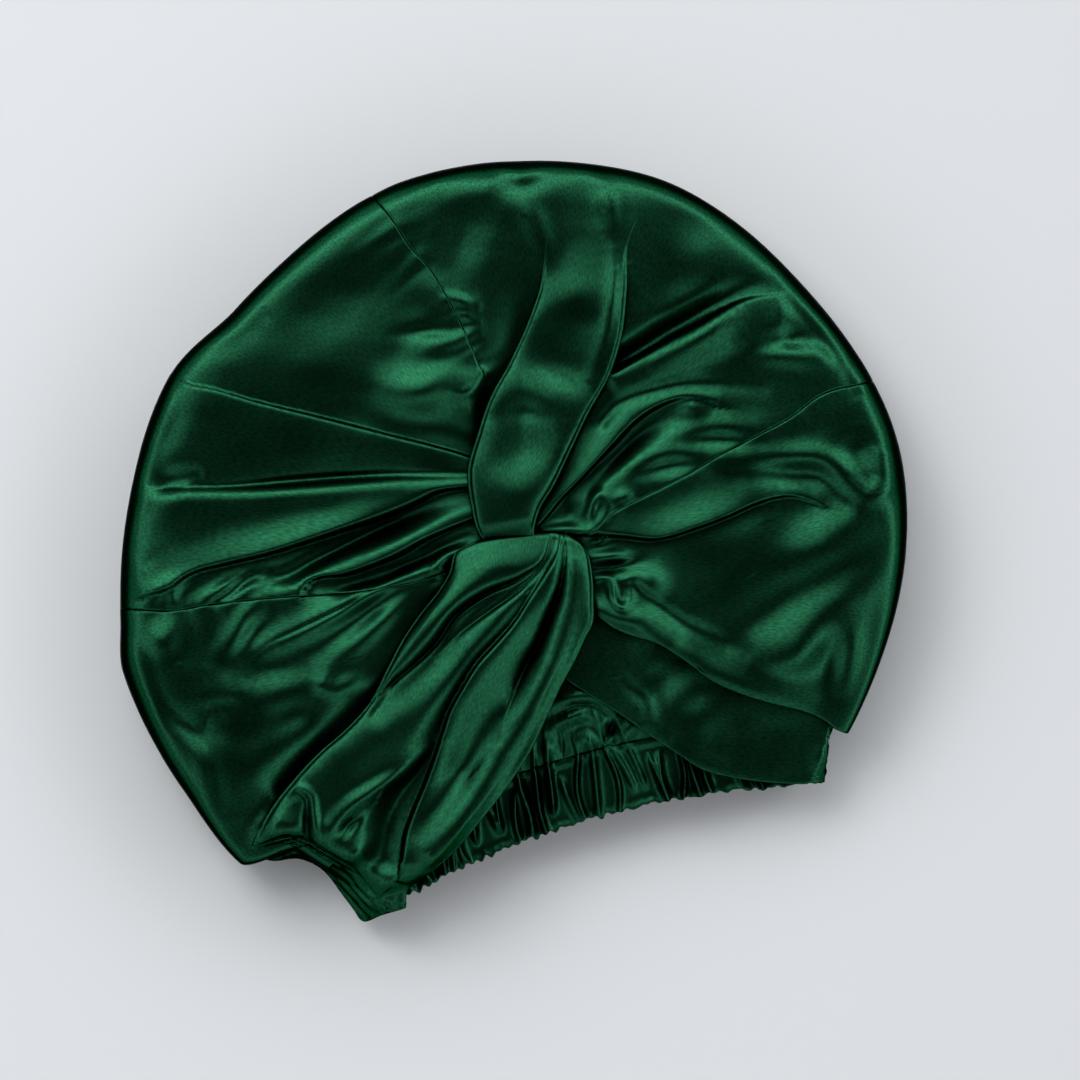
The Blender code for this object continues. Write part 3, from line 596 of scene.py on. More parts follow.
# Seams: path, how high the cloth puckers along it in MM, how far that reaches in MM
Seam = namedtuple("Seam", "path pucker reach seed")
SEAMS = (
    Seam(TOP_SEAM, 0.28, 7, 3),
    Seam(LEFT_SEAM, 0.22, 6, 4),
    Seam(RIGHT_SEAM, 0.15, 5, 5),
)
SEAM_GROOVE = 0.25 * MM
SEAM_WIDTH = 0.5 * MM


def seam_heights(places):
    """A thin groove along each seam, with puckers that run off to its sides."""
    shape = places.shape[:-1]
    places = places.reshape(-1, 2)
    total = np.zeros(len(places))
    for seam in SEAMS:
        curve = smooth_path(seam.path)
        length = np.hypot(*np.diff(curve, axis=0).T).sum()
        distance, share, _ = nearest(places, curve)
        total -= SEAM_GROOVE * np.exp(-((distance / SEAM_WIDTH) ** 2))
        along = share * length
        crease = waves(along, 0.25 * distance, 9 * MM, seed=seam.seed, count=9)
        total += seam.pucker * MM * crease * np.exp(-np.abs(distance) / (seam.reach * MM))
    return total.reshape(shape)


def unevenness(places, seed):
    """Long soft swells and faint short creases that no table names."""
    x, y = places[..., 0], places[..., 1]
    swell = 0.4 * MM * waves(x, y, 60 * MM, seed)
    crease = 0.03 * MM * waves(x, y, 12 * MM, seed + 1)
    return swell + crease


def coons(first, last, inner, outer, shares, across):
    """Grid between two side curves and two end curves, which meet at their corners."""
    a = at_share(first, shares)[:, None]
    b = at_share(last, shares)[:, None]
    i = at_share(inner, across)[None]
    o = at_share(outer, across)[None]
    s = shares[:, None, None]
    c = across[None, :, None]
    corners = (
        (1 - c) * (1 - s) * inner[0]
        + c * (1 - s) * inner[-1]
        + (1 - c) * s * outer[0]
        + c * s * outer[-1]
    )
    return (1 - c) * a + c * b + (1 - s) * i + s * o - corners


def outward(angles):
    turns = np.radians(angles)
    return np.stack((np.cos(turns), np.sin(turns), np.zeros_like(turns)), -1)


def rolled(points, away, radius=ROLL_RADIUS, tuck=ROLL_TUCK):
    """The grid with its last column rolled over and tucked back underneath."""
    normal = away[:, -1]
    side = points[:, -1] - points[:, -4]
    kernel = np.ones(9) / 9
    padded = np.concatenate((side[:1].repeat(4, 0), side, side[-1:].repeat(4, 0)))
    side = np.stack([np.convolve(padded[:, axis], kernel, "valid") for axis in range(3)], -1)
    side -= (side * normal).sum(-1, keepdims=True) * normal
    side /= np.linalg.norm(side, axis=-1, keepdims=True)
    columns, directions = [], []
    for step in range(1, ROLL_STEPS + 1):
        turn = math.pi * step / ROLL_STEPS
        columns.append(points[:, -1] + radius * (math.sin(turn) * side + (math.cos(turn) - 1) * normal))
        directions.append(math.sin(turn) * side + math.cos(turn) * normal)
    for step in range(1, TUCK_STEPS + 1):
        columns.append(columns[ROLL_STEPS - 1] - side * tuck * step / TUCK_STEPS)
        directions.append(-normal)
    return (
        np.concatenate((points, np.stack(columns, 1)), axis=1),
        np.concatenate((away, np.stack(directions, 1)), axis=1),
    )


def flipped(points, away):
    return points[:, ::-1], away[:, ::-1]


def cloth(name, points, away, slot, ring=False):
    """A sheet from a grid of points, with a map in metres along its threads."""
    rows, columns = points.shape[:2]
    index = np.arange(rows * columns).reshape(rows, columns)
    nearer, further = index[:-1], index[1:]
    if ring:
        faces = np.stack((nearer, np.roll(nearer, -1, 1), np.roll(further, -1, 1), further), -1)
    else:
        faces = np.stack((nearer[:, :-1], nearer[:, 1:], further[:, 1:], further[:, :-1]), -1)
    faces = faces.reshape(-1, 4)
    flat = (points + KNOT).reshape(-1, 3)
    across = flat[faces[:, 2]] - flat[faces[:, 0]]
    along = flat[faces[:, 3]] - flat[faces[:, 1]]
    facing = (np.cross(across, along) * away.reshape(-1, 3)[faces[:, 0]]).sum()
    if facing < 0:
        faces = faces[:, ::-1]
    mesh = bpy.data.meshes.new(name)
    mesh.from_pydata(flat.tolist(), [], faces.tolist())
    spacing_across = np.linalg.norm(np.diff(points, axis=1), axis=-1).mean()
    spacing_along = np.linalg.norm(np.diff(points, axis=0), axis=-1).mean()
    corner = faces.reshape(-1)
    places = np.stack((corner % columns * spacing_across, corner // columns * spacing_along), -1)
    mesh.uv_layers.new(name="threads").data.foreach_set("uv", places.astype(np.float32).reshape(-1))
    mesh.shade_smooth()
    piece = bpy.data.objects.new(name, mesh)
    bpy.context.collection.objects.link(piece)
    wall = piece.modifiers.new("thickness", "SOLIDIFY")
    wall.thickness = CLOTH_THICKNESS
    wall.offset = -1
    piece.data.materials.append(MATERIALS[slot])
    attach(piece, "root")
    return piece


def rim_keeps(places):
    """How much of a fold is left at a place: less and less towards the rim."""
    radius = np.hypot(places[..., 0], places[..., 1])
    rim = rim_radius(np.degrees(np.arctan2(places[..., 1], places[..., 0])))
    t = np.clip((radius / rim - 0.90) / 0.10, 0, 1)
    return 1 - (1 - RIM_KEEPS) * t * t * (3 - 2 * t)


def lifted(places, folds, height, seed, keeps=None, base=0.0):
    """Points and outward directions of cloth on a height, with its folds."""
    x, y = places[..., 0], places[..., 1]
    away = upward(x, y, height)
    keeps = np.ones_like(x) if keeps is None else keeps
    rise = base + keeps * (fold_heights(places, folds) + unevenness(places, seed))
    return np.concatenate((places, height(x, y)[..., None]), -1) + rise[..., None] * away, away, rise


def crown_surface(places):
    """Points and outward directions of the folded front at places in the plan, and its folds' rise.

    Every panel takes the folds of all of them, so neighbours meet along their seams.
    """
    x, y = places[..., 0], places[..., 1]
    away = upward(x, y, crown_height)
    folds = LEFT_UPPER_FOLDS + LEFT_LOWER_FOLDS + TOP_RIGHT_FOLDS + RIGHT_LOWER_FOLDS
    rise = rim_keeps(places) * (fold_heights(places, folds) + unevenness(places, PANEL_SEED))
    rise = rise + seam_heights(places)
    return np.concatenate((places, crown_height(x, y)[..., None]), -1) + rise[..., None] * away, away, rise


def front_panel(name, first, last, inner, columns, rows, roll_last=False):
    """A front panel: from near the knot, over the crown and round the curl of the rim."""
    a, b = smooth_path(first), smooth_path(last)
    angles = [math.degrees(math.atan2(curve[-1, 1], curve[-1, 0])) for curve in (a, b)]
    if abs(angles[1] - angles[0]) > 180:
        angles = [angle % 360 for angle in angles]
    across = np.linspace(0, 1, columns)
    angles = angles[0] + (angles[1] - angles[0]) * np.linspace(0, 1, 400)
    rim = rim_radius(angles)[:, None] * outward(angles)[:, :2]
    for curve, end in ((a, rim[0]), (b, rim[-1])):
        curve += (end - curve[-1]) * (np.linspace(0, 1, len(curve)) ** 3)[:, None]
    shares = np.sin(math.pi / 2 * np.linspace(0, 1, rows))
    places = coons(a, b, smooth_path(inner), rim, shares, across)
    places[-1] *= 1 - 1e-5
    points, away, rise = crown_surface(places)
    column_angles = angles[0] + (angles[-1] - angles[0]) * across
    away[-1] = outward(column_angles)
    away[-2] = away[-1] + away[-3]
    away[-2] /= np.linalg.norm(away[-2], axis=-1, keepdims=True)
    direction = outward(column_angles)
    points[-1] = rim_radius(column_angles)[:, None] * direction + rise[-1][:, None] * direction
    points[-1, :, 2] = RIM_HEIGHT
    curl, curl_away = [], []
    for row in range(1, CURL_ROWS + 1):
        turn = JOIN_TURN * row / CURL_ROWS
        reach = rim_radius(column_angles) - RIM_CURL * (1 - math.cos(turn))
        line = reach[:, None] * direction
        line[:, 2] = RIM_HEIGHT * (1 - math.sin(turn))
        normal = math.cos(turn) * direction - np.array((0, 0, math.sin(turn)))
        curl.append(line + (rise[-1] * (1 - row / CURL_ROWS))[:, None] * normal)
        curl_away.append(normal)
    points = np.concatenate((points, np.stack(curl)))
    away = np.concatenate((away, np.stack(curl_away)))
    if roll_last:
        points, away = rolled(points, away)
    return cloth(name, points, away, "satin")


def strip_grid(left, right, start, end, rows, columns):
    """Grid of a strip between its two long edges, from its start to its end."""
    a, b = smooth_path(left, 161), smooth_path(right, 161)
    inner, outer = smooth_path(start, 81), smooth_path(end, 81)
    return coons(a, b, inner, outer, np.linspace(0, 1, rows), np.linspace(0, 1, columns))


def arch(across, power):
    """Share of a strip's swell across it: flat in the middle and round towards its edges."""
    return (1 - np.abs(2 * across - 1) ** power) ** (1 / power)


# The twist grows out of the panel: its start lies just under the panel's skin, then just over it,
# and between two shares of its length it takes its own form
TWIST_SKIN = 0.15 * MM
TWIST_SUNK = 0.3 * MM
TWIST_BLEND = (0.12, 0.34)


def upper_twist():
    start = (TWIST_LEFT[0], TWIST_RIGHT[0])
    end = (TWIST_LEFT[-1], TWIST_RIGHT[-1])
    rows, columns = 180, 64
    places = strip_grid(TWIST_LEFT, TWIST_RIGHT, start, end, rows, columns)
    along, across = np.meshgrid(np.linspace(0, 1, rows), np.linspace(0, 1, columns), indexing="ij")
    edge = eased_curve([(row[0], row[1]) for row in TWIST_HEIGHTS], along)
    middle = eased_curve([(row[0], row[2]) for row in TWIST_HEIGHTS], along)
    base = (edge + (middle - edge) * arch(across, 4.0)) * MM
    points, away, _ = lifted(places, TWIST_FOLDS, draped_height, 11, base=base)
    panel, panel_away, _ = crown_surface(places)
    start_share = np.clip(along / TWIST_BLEND[0], 0, 1)[..., None]
    panel += (TWIST_SKIN * start_share - TWIST_SUNK * (1 - start_share)) * panel_away
    t = np.clip((along - TWIST_BLEND[0]) / (TWIST_BLEND[1] - TWIST_BLEND[0]), 0, 1)[..., None]
    own = t * t * (3 - 2 * t)
    points = panel + own * (points - panel)
    away = panel_away + own * (away - panel_away)
    for _ in range(2):
        points, away = flipped(*rolled(points, away))
    return cloth("satin_upper_twist", points, away, "satin")


# How high over the floor the sash and its tucked edges stay, and how far these are tucked under
SASH_LOWEST = 2.2 * MM
SASH_TUCK_LOWEST = 0.7 * MM
SASH_TUCK = 8 * MM


def lower_sash():
    rows, columns = 290, 112
    places = strip_grid(SASH_LEFT, SASH_RIGHT, SASH_TOP, SASH_END, rows, columns)
    along, across = np.meshgrid(np.linspace(0, 1, rows), np.linspace(0, 1, columns), indexing="ij")
    left, middle, right = (eased_curve([(row[0], row[k]) for row in SASH_HEIGHTS], along) for k in (1, 2, 3))
    edge = left + (right - left) * across
    middle = np.maximum(middle, edge + 0.5)
    rounded = np.sqrt(1 - (1 - np.clip(along / 0.022, 0, 1)) ** 2)
    base = (edge + (middle - edge) * arch(across, 3.0)) * MM * (0.35 + 0.65 * rounded)
    keeps = 0.25 + 0.75 * np.clip(np.minimum(across, 1 - across) / 0.06, 0, 1)
    points, away, _ = lifted(places, SASH_FOLDS, draped_height, 12, keeps=keeps, base=base)
    points[..., :2] = places
    points[..., 2] = SASH_LOWEST + np.logaddexp((points[..., 2] - SASH_LOWEST) / MM, 0) * MM
    for _ in range(2):
        points, away = flipped(*rolled(points, away, tuck=SASH_TUCK))
    points[..., 2] = np.maximum(points[..., 2], SASH_TUCK_LOWEST)
    return cloth("satin_lower_sash", points, away, "satin")


FLAP_UNDER_PANELS = 2.6 * MM
FLAP_ROLL = 0.8 * MM


def under_flap():
    rows, columns = 170, 70
    places = strip_grid(FLAP_TOP, FLAP_BOTTOM, FLAP_START, FLAP_END, rows, columns)
    points, away, _ = lifted(places, FLAP_FOLDS, draped_height, 13, base=-FLAP_UNDER_PANELS)
    points, away = rolled(points, away, radius=FLAP_ROLL)
    return cloth("satin_under_flap", points, away, "satin")


def casing_edge(x):
    share = 2 * (x - BAND_MIDDLE_X) / BAND_WIDTH
    return -MOUTH_BELOW_KNOT + MOUTH_ARCH * (1 - share**2)


def band_top(x, y):
    return crown_height(x, y) - BAND_BELOW_PANELS


RUFFLES = 31
RUFFLE_DEPTH = 4.6 * MM


def ruffle_heights(x, up, seed):
    """Irregular ruffles of the elastic casing: sharp ridges that bend, start and die out."""
    random = np.random.default_rng(seed)
    total = np.full_like(x, -0.85 * RUFFLE_DEPTH)
    left = BAND_MIDDLE_X - BAND_WIDTH / 2
    for number in range(RUFFLES):
        place = left + BAND_WIDTH * (number + random.uniform(0.15, 0.85)) / RUFFLES
        tilt = random.uniform(-5, 5) * MM
        bend = random.uniform(-2.0, 2.0) * MM
        width = random.uniform(0.8, 2.0) * MM
        rise = random.uniform(0.5, 1.2) * RUFFLE_DEPTH
        begins, ends = random.choice(((-0.2, 1.2), (-0.2, 0.8), (0.2, 1.2), (-0.2, 1.2)))
        line = place + tilt * (up - 0.5) + bend * np.sin(math.pi * up * random.uniform(0.8, 1.8))
        s = np.abs(x - line) / width
        fade = np.clip((up - begins) / 0.2, 0, 1) * np.clip((ends - up) / 0.2, 0, 1)
        total += rise * np.exp(-(s**1.4)) * fade
    return total


# Where the casing's height at its ends is taken: share of its half width, and y
BAND_END_SHARE = 0.95
BAND_END_Y = np.array(-120 * MM)


def elastic_band():
    """The ruffled casing: one ring, its back half on the floor and its front half above."""
    rows, front, end, back = 34, 380, 24, 100
    up = np.linspace(0, 1, rows)[:, None]
    half = BAND_WIDTH / 2
    left_radius = float(band_top(np.array(BAND_MIDDLE_X - BAND_END_SHARE * half), BAND_END_Y)) / 2
    right_radius = float(band_top(np.array(BAND_MIDDLE_X + BAND_END_SHARE * half), BAND_END_Y)) / 2
    low, high = BAND_MIDDLE_X - half + left_radius, BAND_MIDDLE_X + half - right_radius

    def across(count):
        return np.broadcast_to(np.linspace(low, high, count), (rows, count))

    x = across(front)
    edge_nick = 0.6 * MM * waves(x, 0 * x, 4.6 * MM, 21, 7) * np.exp(-up / 0.12)
    y = casing_edge(x) + BAND_CASING * up + edge_nick
    pinch = 1 - 0.45 * np.exp(-(((up - 0.93) / 0.05) ** 2)) - 0.35 * np.exp(-(((up - 0.0) / 0.08) ** 2))
    top = band_top(x, y)
    front_z = top + ruffle_heights(x, up, 22) * pinch - 1.0 * MM * np.exp(-(((up - 0.93) / 0.03) ** 2))
    front_part = np.stack((x, y, front_z), -1)
    front_way = np.broadcast_to(np.array((0.0, 0.0, 1.0)), front_part.shape)
    x_back = across(back)
    back_rise = 0.4 * MM * (1 + waves(x_back, 0 * x_back, 9 * MM, 23, 9) * 0.5)
    back_y = casing_edge(x_back) + BAND_CASING * up
    back_part = np.stack((x_back, back_y, np.maximum(back_rise, 0.1 * MM)), -1)[:, ::-1]
    back_way = np.broadcast_to(np.array((0.0, 0.0, -1.0)), back_part.shape)

    def turned_end(start_points, end_points, sign):
        """Half a turn at one end, from the front's last point to the back's first."""
        turns = np.linspace(0, math.pi, end + 2)[1:-1]
        middle = (start_points + end_points) / 2
        radius = (start_points - end_points)[:, 2:] / 2
        steps = []
        aims = []
        for turn in turns:
            aim = np.array((sign * math.sin(turn), 0, math.cos(turn)))
            wrinkle = 0.35 * MM * waves(up * BAND_CASING, turn * 6 * MM + 0 * up, 5 * MM, 25, 9)
            steps.append(middle + (np.abs(radius) + wrinkle) * aim)
            aims.append(np.broadcast_to(aim, middle.shape))
        return np.stack(steps, 1), np.stack(aims, 1)

    right, right_way = turned_end(front_part[:, -1], back_part[:, 0], 1)
    left, left_way = turned_end(front_part[:, 0], back_part[:, -1], -1)
    points = np.concatenate((front_part, right, back_part, left[:, ::-1]), axis=1)
    away = np.concatenate((front_way, right_way, back_way, left_way[:, ::-1]), axis=1)
    return cloth("satin_elastic_band", points, away, "casing_satin", ring=True)


# Where the gathers end towards the knot, as shares of CROWN_RADIUS, and how far they stay off the ends
GATHER_HEAD_X = -0.05
GATHER_HEAD_HALF_WIDTH = 0.26
GATHER_HEAD_Y = -0.24
GATHER_HEAD_SAG = 0.08
GATHER_INSET = 8 * MM


def front_gather():
    """The inner front: gathers that start at the casing and die out towards the knot."""
    rows, columns = 66, 300
    up, across = np.meshgrid(np.linspace(0, 1, rows), np.linspace(-1, 1, columns), indexing="ij")
    foot_x = BAND_MIDDLE_X + (BAND_WIDTH / 2 - GATHER_INSET) * across
    foot_y = casing_edge(foot_x) + BAND_CASING - 0.6 * MM
    head_x = CROWN_RADIUS * (GATHER_HEAD_X + GATHER_HEAD_HALF_WIDTH * across)
    head_y = CROWN_RADIUS * (GATHER_HEAD_Y - GATHER_HEAD_SAG * across**2)
    places = np.stack((foot_x + (head_x - foot_x) * up, foot_y + (head_y - foot_y) * up), -1)
    x, y = places[..., 0], places[..., 1]
    pull = np.exp(-up / 0.16)
    gathers = ruffle_heights(foot_x, 1.0 - 0.4 * up, 22) * pull * 0.55
    rise = gathers + fold_heights(places, GATHER_FOLDS) * (1 - 0.5 * np.exp(-up / 0.05)) - 0.6 * MM
    away = np.broadcast_to(np.array((0.0, 0.0, 1.0)), (*x.shape, 3))
    height = crown_height(x, y) - BAND_BELOW_PANELS + rise + unevenness(places, 31)
    points = np.concatenate((places, height[..., None]), -1)
    return cloth("satin_front_gather", points, away, "inner_satin")


# The part of the rim where panels and back meet, in degrees, and the gap between their edges
RIM_START = -49
RIM_END = 222
JOIN_GAP = math.radians(3)


def back_panel():
    """The back: flat on the floor from its middle to the mouth, and curled up at the rim."""
    angles = np.linspace(RIM_START, RIM_END, 200)
    rows = 26
    direction = outward(angles)
    flat_reach = rim_radius(angles) - RIM_CURL
    lines, ways = [], []
    down = np.broadcast_to(np.array((0.0, 0.0, -1.0)), direction.shape)
    for share in np.linspace(0.02, 1, rows):
        lines.append(direction * (flat_reach * share)[:, None])
        ways.append(down)
    for row in range(1, CURL_ROWS + 1):
        turn = math.pi / 2 + (JOIN_TURN - JOIN_GAP - math.pi / 2) * row / CURL_ROWS
        reach = rim_radius(angles) - RIM_CURL * (1 - math.cos(turn)) - 0.3 * MM * row / CURL_ROWS
        line = reach[:, None] * direction
        line[:, 2] = RIM_HEIGHT * (1 - math.sin(turn))
        lines.append(line)
        ways.append(math.cos(turn) * direction - np.array((0, 0, math.sin(turn))))
    mouth_x = np.linspace(BAND_MIDDLE_X - BAND_WIDTH / 2, BAND_MIDDLE_X + BAND_WIDTH / 2, 100)
    foot = np.stack((mouth_x, casing_edge(mouth_x) + BAND_CASING - 0.5 * MM, 0 * mouth_x), -1)
    mouth = [foot * share for share in np.linspace(0.02, 0.9, rows)]
    mouth += [foot * share for share in np.linspace(0.9, 1.0, CURL_ROWS + 1)[1:]]
    points = np.concatenate((np.stack(lines), np.stack(mouth)), axis=1)
    points[..., 2] += 0.05 * MM
    mouth_way = np.broadcast_to(np.array((0.0, 0.0, -1.0)), (len(points), len(mouth_x), 3))
    away = np.concatenate((np.stack(ways), mouth_way), axis=1)
    return cloth("satin_back_panel", points, away, "satin", ring=True)


# Satin's threads: how many in a metre both ways, and how uneven threads and broad patches are
THREADS_IN_A_METRE = (1400, 420, 1)
PATCHES_IN_A_METRE = 26.0
THREAD_SHADES = (0.62, 1.38)
PATCH_SHADES = (0.9, 1.1)
THREAD_RELIEF = 0.05 * MM


def link(tree, source, target):
    tree.links.new(source, target)


def ranged(tree, source, begin, end, low, high, kind="LINEAR"):
    """A value taken from one range to another, and held at its ends."""
    node = tree.nodes.new("ShaderNodeMapRange")
    node.interpolation_type = kind
    node.inputs["From Min"].default_value = begin
    node.inputs["From Max"].default_value = end
    node.inputs["To Min"].default_value = low
    node.inputs["To Max"].default_value = high
    link(tree, source, node.inputs["Value"])
    return node.outputs["Result"]


def product(tree, first, second):
    node = tree.nodes.new("ShaderNodeMath")
    node.operation = "MULTIPLY"
    link(tree, first, node.inputs[0])
    link(tree, second, node.inputs[1])
    return node.outputs[0]


def shaded(tree, colour, share):
    """A colour made darker or brighter by a share."""
    node = tree.nodes.new("ShaderNodeVectorMath")
    node.operation = "SCALE"
    link(tree, colour, node.inputs[0])
    link(tree, share, node.inputs["Scale"])
    return node.outputs[0]


def thread_group():
    """Threads of the satin: its colour, roughness and relief, uneven over the surface."""
    group = bpy.data.node_groups.new("satin threads", "ShaderNodeTree")
    face = group.interface
    face.new_socket("Colour", in_out="INPUT", socket_type="NodeSocketColor")
    face.new_socket("Roughness", in_out="INPUT", socket_type="NodeSocketFloat")
    face.new_socket("Colour", in_out="OUTPUT", socket_type="NodeSocketColor")
    face.new_socket("Roughness", in_out="OUTPUT", socket_type="NodeSocketFloat")
    face.new_socket("Height", in_out="OUTPUT", socket_type="NodeSocketFloat")
    entry = group.nodes.new("NodeGroupInput")
    exit_node = group.nodes.new("NodeGroupOutput")
    threads = group.nodes.new("ShaderNodeUVMap")
    threads.uv_map = "threads"
    stretch = group.nodes.new("ShaderNodeMapping")
    stretch.inputs["Scale"].default_value = THREADS_IN_A_METRE
    link(group, threads.outputs["UV"], stretch.inputs["Vector"])
    fine = group.nodes.new("ShaderNodeTexNoise")
    fine.inputs["Scale"].default_value = 1.0
    fine.inputs["Detail"].default_value = 2.0
    link(group, stretch.outputs["Vector"], fine.inputs["Vector"])
    place = group.nodes.new("ShaderNodeTexCoord")
    patches = group.nodes.new("ShaderNodeTexNoise")
    patches.inputs["Scale"].default_value = PATCHES_IN_A_METRE
    patches.inputs["Detail"].default_value = 3.0
    link(group, place.outputs["Object"], patches.inputs["Vector"])
    shade = ranged(group, fine.outputs["Fac"], 0.3, 0.7, *THREAD_SHADES)
    patch_shade = ranged(group, patches.outputs["Fac"], 0.3, 0.7, *PATCH_SHADES)
    tint = shaded(group, entry.outputs["Colour"], product(group, shade, patch_shade))
    link(group, tint, exit_node.inputs["Colour"])
    rough = product(group, entry.outputs["Roughness"], patch_shade)
    link(group, rough, exit_node.inputs["Roughness"])
    link(group, fine.outputs["Fac"], exit_node.inputs["Height"])
    return group


# Painted shade on steep cloth: its colour, and so what the satin mirrors, is darkened where it is seen at a
# slant, which darkens the rim's outer edge and the steep sides of folds: how slanted that starts and ends,
# and what is left
SLANT_SHADE_FROM = 0.28
SLANT_SHADE_TO = 0.64
SLANT_SHADE_KEEPS = 0.36

# Painted shade in creases: the colour goes dark where ambient occlusion finds cloth close round a place: how
# far round a place cloth counts, how open it must be, and what a closed crease keeps
CREASE_SHADE_REACH = 9 * MM
CREASE_SHADE_FROM = 0.5
CREASE_SHADE_TO = 0.93
CREASE_SHADE_KEEPS = 0.03
CREASE_SHADE_RAYS = 6


def satin(name, group, colour, roughness, relief):
    material = bpy.data.materials.new(name)
    material.use_nodes = True
    tree = material.node_tree
    shader = tree.nodes["Principled BSDF"]
    threads = tree.nodes.new("ShaderNodeGroup")
    threads.node_tree = group
    threads.inputs["Colour"].default_value = colour
    threads.inputs["Roughness"].default_value = roughness
    facing = tree.nodes.new("ShaderNodeLayerWeight")
    # Painted shade: the colour darkens where the cloth is seen at a slant
    slant_shade = ranged(tree, facing.outputs["Facing"], SLANT_SHADE_FROM, SLANT_SHADE_TO, 1.0, SLANT_SHADE_KEEPS, "SMOOTHSTEP")
    # Painted shade: ambient occlusion darkens the colour in creases and under laps
    crease_occlusion = tree.nodes.new("ShaderNodeAmbientOcclusion")
    crease_occlusion.samples = CREASE_SHADE_RAYS
    crease_occlusion.inputs["Distance"].default_value = CREASE_SHADE_REACH
    crease_shade = ranged(tree, crease_occlusion.outputs["AO"], CREASE_SHADE_FROM, CREASE_SHADE_TO, CREASE_SHADE_KEEPS, 1.0, "SMOOTHSTEP")
    # The thread colour with the painted shade on steep cloth and in creases multiplied in
    shade_painted_colour = shaded(tree, threads.outputs["Colour"], product(tree, slant_shade, crease_shade))
    link(tree, shade_painted_colour, shader.inputs["Base Color"])
    link(tree, threads.outputs["Roughness"], shader.inputs["Roughness"])
    bump = tree.nodes.new("ShaderNodeBump")
    bump.inputs["Strength"].default_value = relief
    bump.inputs["Distance"].default_value = THREAD_RELIEF
    link(tree, threads.outputs["Height"], bump.inputs["Height"])
    link(tree, bump.outputs["Normal"], shader.inputs["Normal"])
    shader.inputs["Metallic"].default_value = 1.0
    shader.inputs["Specular Tint"].default_value = (0.0, 0.03, 0.02, 1.0)
    return material


def floor():
    bpy.ops.object.select_all(action="DESELECT")
    bpy.ops.mesh.primitive_plane_add(size=12, location=(0, 0, 0))
    ground = bpy.context.active_object
    ground.name = "floor"
    material = bpy.data.materials.new("pale_floor")
    material.use_nodes = True
    shader = material.node_tree.nodes["Principled BSDF"]
    shader.inputs["Base Color"].default_value = FLOOR_GREY
    shader.inputs["Roughness"].default_value = 0.9
    shader.inputs["Specular IOR Level"].default_value = 0.1
    ground.data.materials.append(material)


# Brightness of the studio round the bonnet: sine of the height above the floor, share
STUDIO = (
    (0.0, 0.04),
    (0.20, 0.12),
    (0.32, 0.8),
    (0.40, 1.0),
    (0.56, 0.9),
    (0.70, 0.25),
    (0.84, 0.03),
    (1.0, 0.0),
)
STUDIO_BRIGHTNESS = 2.0
BRIGHT_SIDE = (0.60, 0.80, 0.0)
BRIGHT_SIDE_SHARE = 0.6

# A soft patch of light high over that side: where it is, its edges as cosines, and its brightness
PATCH_PLACE = (-0.15, 0.60, 0.786)
PATCH_EDGES = (0.86, 0.975)
PATCH_SHARE = 0.6


def studio():
    world = bpy.data.worlds.new("studio")
    bpy.context.scene.world = world
    world.use_nodes = True
    tree = world.node_tree
    tree.nodes.clear()
    place = tree.nodes.new("ShaderNodeTexCoord")
    split = tree.nodes.new("ShaderNodeSeparateXYZ")
    link(tree, place.outputs["Generated"], split.inputs[0])
    ramp = tree.nodes.new("ShaderNodeValToRGB")
    ramp.color_ramp.interpolation = "EASE"
    stops = ramp.color_ramp.elements
    while len(stops) < len(STUDIO):
        stops.new(0.5)
    for stop, (level, share) in zip(stops, STUDIO):
        stop.position = level
        stop.color = (share, share, share * 1.02, 1)
    link(tree, split.outputs["Z"], ramp.inputs["Fac"])
    side = tree.nodes.new("ShaderNodeVectorMath")
    side.operation = "DOT_PRODUCT"
    side.inputs[1].default_value = BRIGHT_SIDE
    link(tree, place.outputs["Generated"], side.inputs[0])
    share = tree.nodes.new("ShaderNodeMath")
    share.operation = "MULTIPLY_ADD"
    share.inputs[1].default_value = BRIGHT_SIDE_SHARE
    share.inputs[2].default_value = 1.0
    link(tree, side.outputs["Value"], share.inputs[0])
    strength = tree.nodes.new("ShaderNodeMath")
    strength.operation = "MULTIPLY"
    strength.inputs[1].default_value = STUDIO_BRIGHTNESS
    link(tree, share.outputs[0], strength.inputs[0])
    background = tree.nodes.new("ShaderNodeBackground")
    nearness = tree.nodes.new("ShaderNodeVectorMath")
    nearness.operation = "DOT_PRODUCT"
    nearness.inputs[1].default_value = PATCH_PLACE
    link(tree, place.outputs["Generated"], nearness.inputs[0])
    patch = ranged(tree, nearness.outputs["Value"], *PATCH_EDGES, 0.0, PATCH_SHARE, "SMOOTHSTEP")
    lit = tree.nodes.new("ShaderNodeVectorMath")
    lit.operation = "ADD"
    link(tree, ramp.outputs["Color"], lit.inputs[0])
    link(tree, patch, lit.inputs[1])
    link(tree, lit.outputs[0], background.inputs["Color"])
    link(tree, strength.outputs[0], background.inputs["Strength"])
    output = tree.nodes.new("ShaderNodeOutputWorld")
    link(tree, background.outputs[0], output.inputs["Surface"])


# The key light in the photograph's frame: across, up and above the floor, in metres from its middle
KEY_PLACE = (-0.82, 0.88, 1.32)
KEY_SIZE = 0.8
KEY_POWER = 8.6


def key_light():
    """A square light from the upper left, which satin doesn't mirror."""
    light = bpy.data.lights.new("key light", "AREA")
    light.shape = "RECTANGLE"
    light.size, light.size_y = KEY_SIZE, KEY_SIZE
    light.energy = KEY_POWER
    lamp = bpy.data.objects.new("key light", light)
    u, v, height = KEY_PLACE
    x = u * math.cos(TURN) + v * math.sin(TURN)
    y = v * math.cos(TURN) - u * math.sin(TURN)
    lamp.location = (x, y, height)
    lamp.rotation_euler = (math.atan2(math.hypot(x, y), height), 0, math.atan2(y, x) - math.pi / 2 + math.pi)
    lamp.visible_glossy = False
    bpy.context.collection.objects.link(lamp)


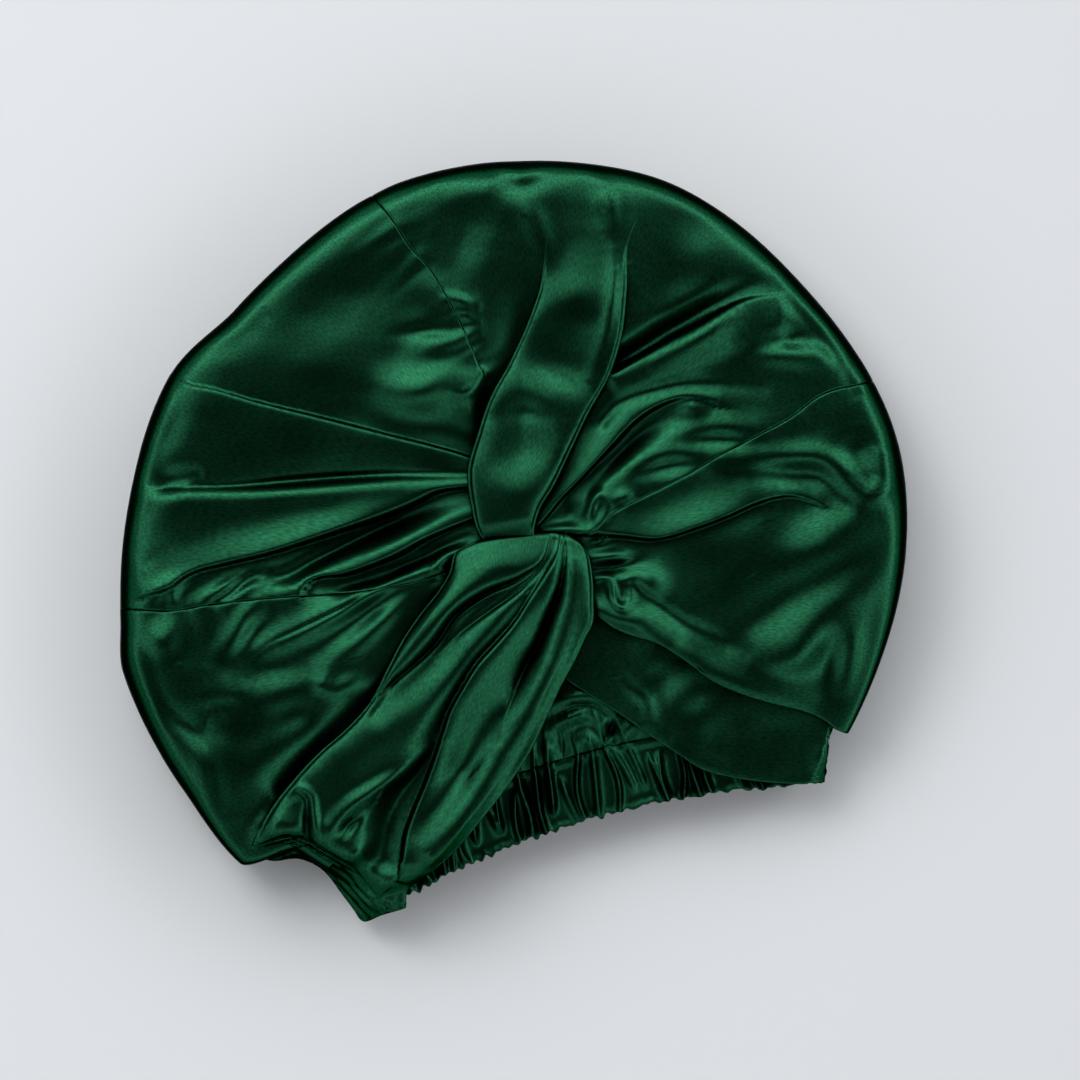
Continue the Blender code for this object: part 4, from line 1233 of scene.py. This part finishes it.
def camera():
    data = bpy.data.cameras.new("camera")
    data.sensor_width = SENSOR
    data.lens = SENSOR * CAMERA_HEIGHT / (FRAME_PIXELS * PIXEL)
    data.clip_end = 100
    thing = bpy.data.objects.new("camera", data)
    aim = plan((FRAME_MIDDLE_PIXEL,))[0] + KNOT[:2]
    thing.location = (aim[0], aim[1], CAMERA_HEIGHT + RIM_HEIGHT)
    thing.rotation_euler = (0, 0, -TURN)
    bpy.context.collection.objects.link(thing)
    bpy.context.scene.camera = thing


camera()
studio()
floor()
key_light()
THREADS = thread_group()
MATERIALS = {
    "satin": satin("satin", THREADS, SATIN_GREEN, SATIN_ROUGHNESS, SATIN_RELIEF),
    "inner_satin": satin("inner_satin", THREADS, INNER_GREEN, INNER_ROUGHNESS, SATIN_RELIEF),
    "casing_satin": satin("casing_satin", THREADS, INNER_GREEN, INNER_ROUGHNESS, SATIN_RELIEF),
}

back = back_panel()
left_upper = front_panel("satin_left_upper_panel", TOP_SEAM, LEFT_SEAM, LEFT_INNER, 250, 120)
left_lower = front_panel(
    "satin_left_lower_panel", LEFT_SEAM, LEFT_HIDDEN_EDGE, LEFT_LOWER_INNER, 175, 150
)
top_right = front_panel("satin_top_right_panel", TOP_SEAM, RIGHT_SEAM, TOP_INNER, 260, 122)
right_lower = front_panel(
    "satin_right_lower_panel", RIGHT_SEAM, RIGHT_EDGE, RIGHT_INNER, 190, 135, roll_last=True
)
gather = front_gather()
flap = under_flap()
twist = upper_twist()
sash = lower_sash()
band = elastic_band()

for piece, node, flat, area, held, rests_on in (
    (back, "back_panel", (0.34, 0.30), 0.078, "laid", ["floor"]),
    (left_upper, "left_upper_panel", (0.24, 0.20), 0.024, "gathered", ["back_panel"]),
    (left_lower, "left_lower_panel", (0.20, 0.20), 0.021, "gathered", ["back_panel"]),
    (top_right, "top_right_panel", (0.26, 0.20), 0.026, "gathered", ["back_panel"]),
    (right_lower, "right_lower_panel", (0.20, 0.18), 0.019, "gathered", ["back_panel"]),
    (gather, "front_gather", (0.19, 0.045), None, "gathered", ["elastic_band"]),
    (flap, "under_flap", (0.13, 0.06), 0.0072, "laid", ["front_gather"]),
    (twist, "upper_twist", (0.16, 0.07), 0.0095, "folded", ["top_right_panel"]),
    (sash, "lower_sash", (0.22, 0.11), 0.019, "gathered", ["left_lower_panel"]),
    (band, "elastic_band", (0.44, 0.032), None, "gathered", []),
):
    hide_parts(node)

bpy.context.scene.view_settings.view_transform = "Standard"
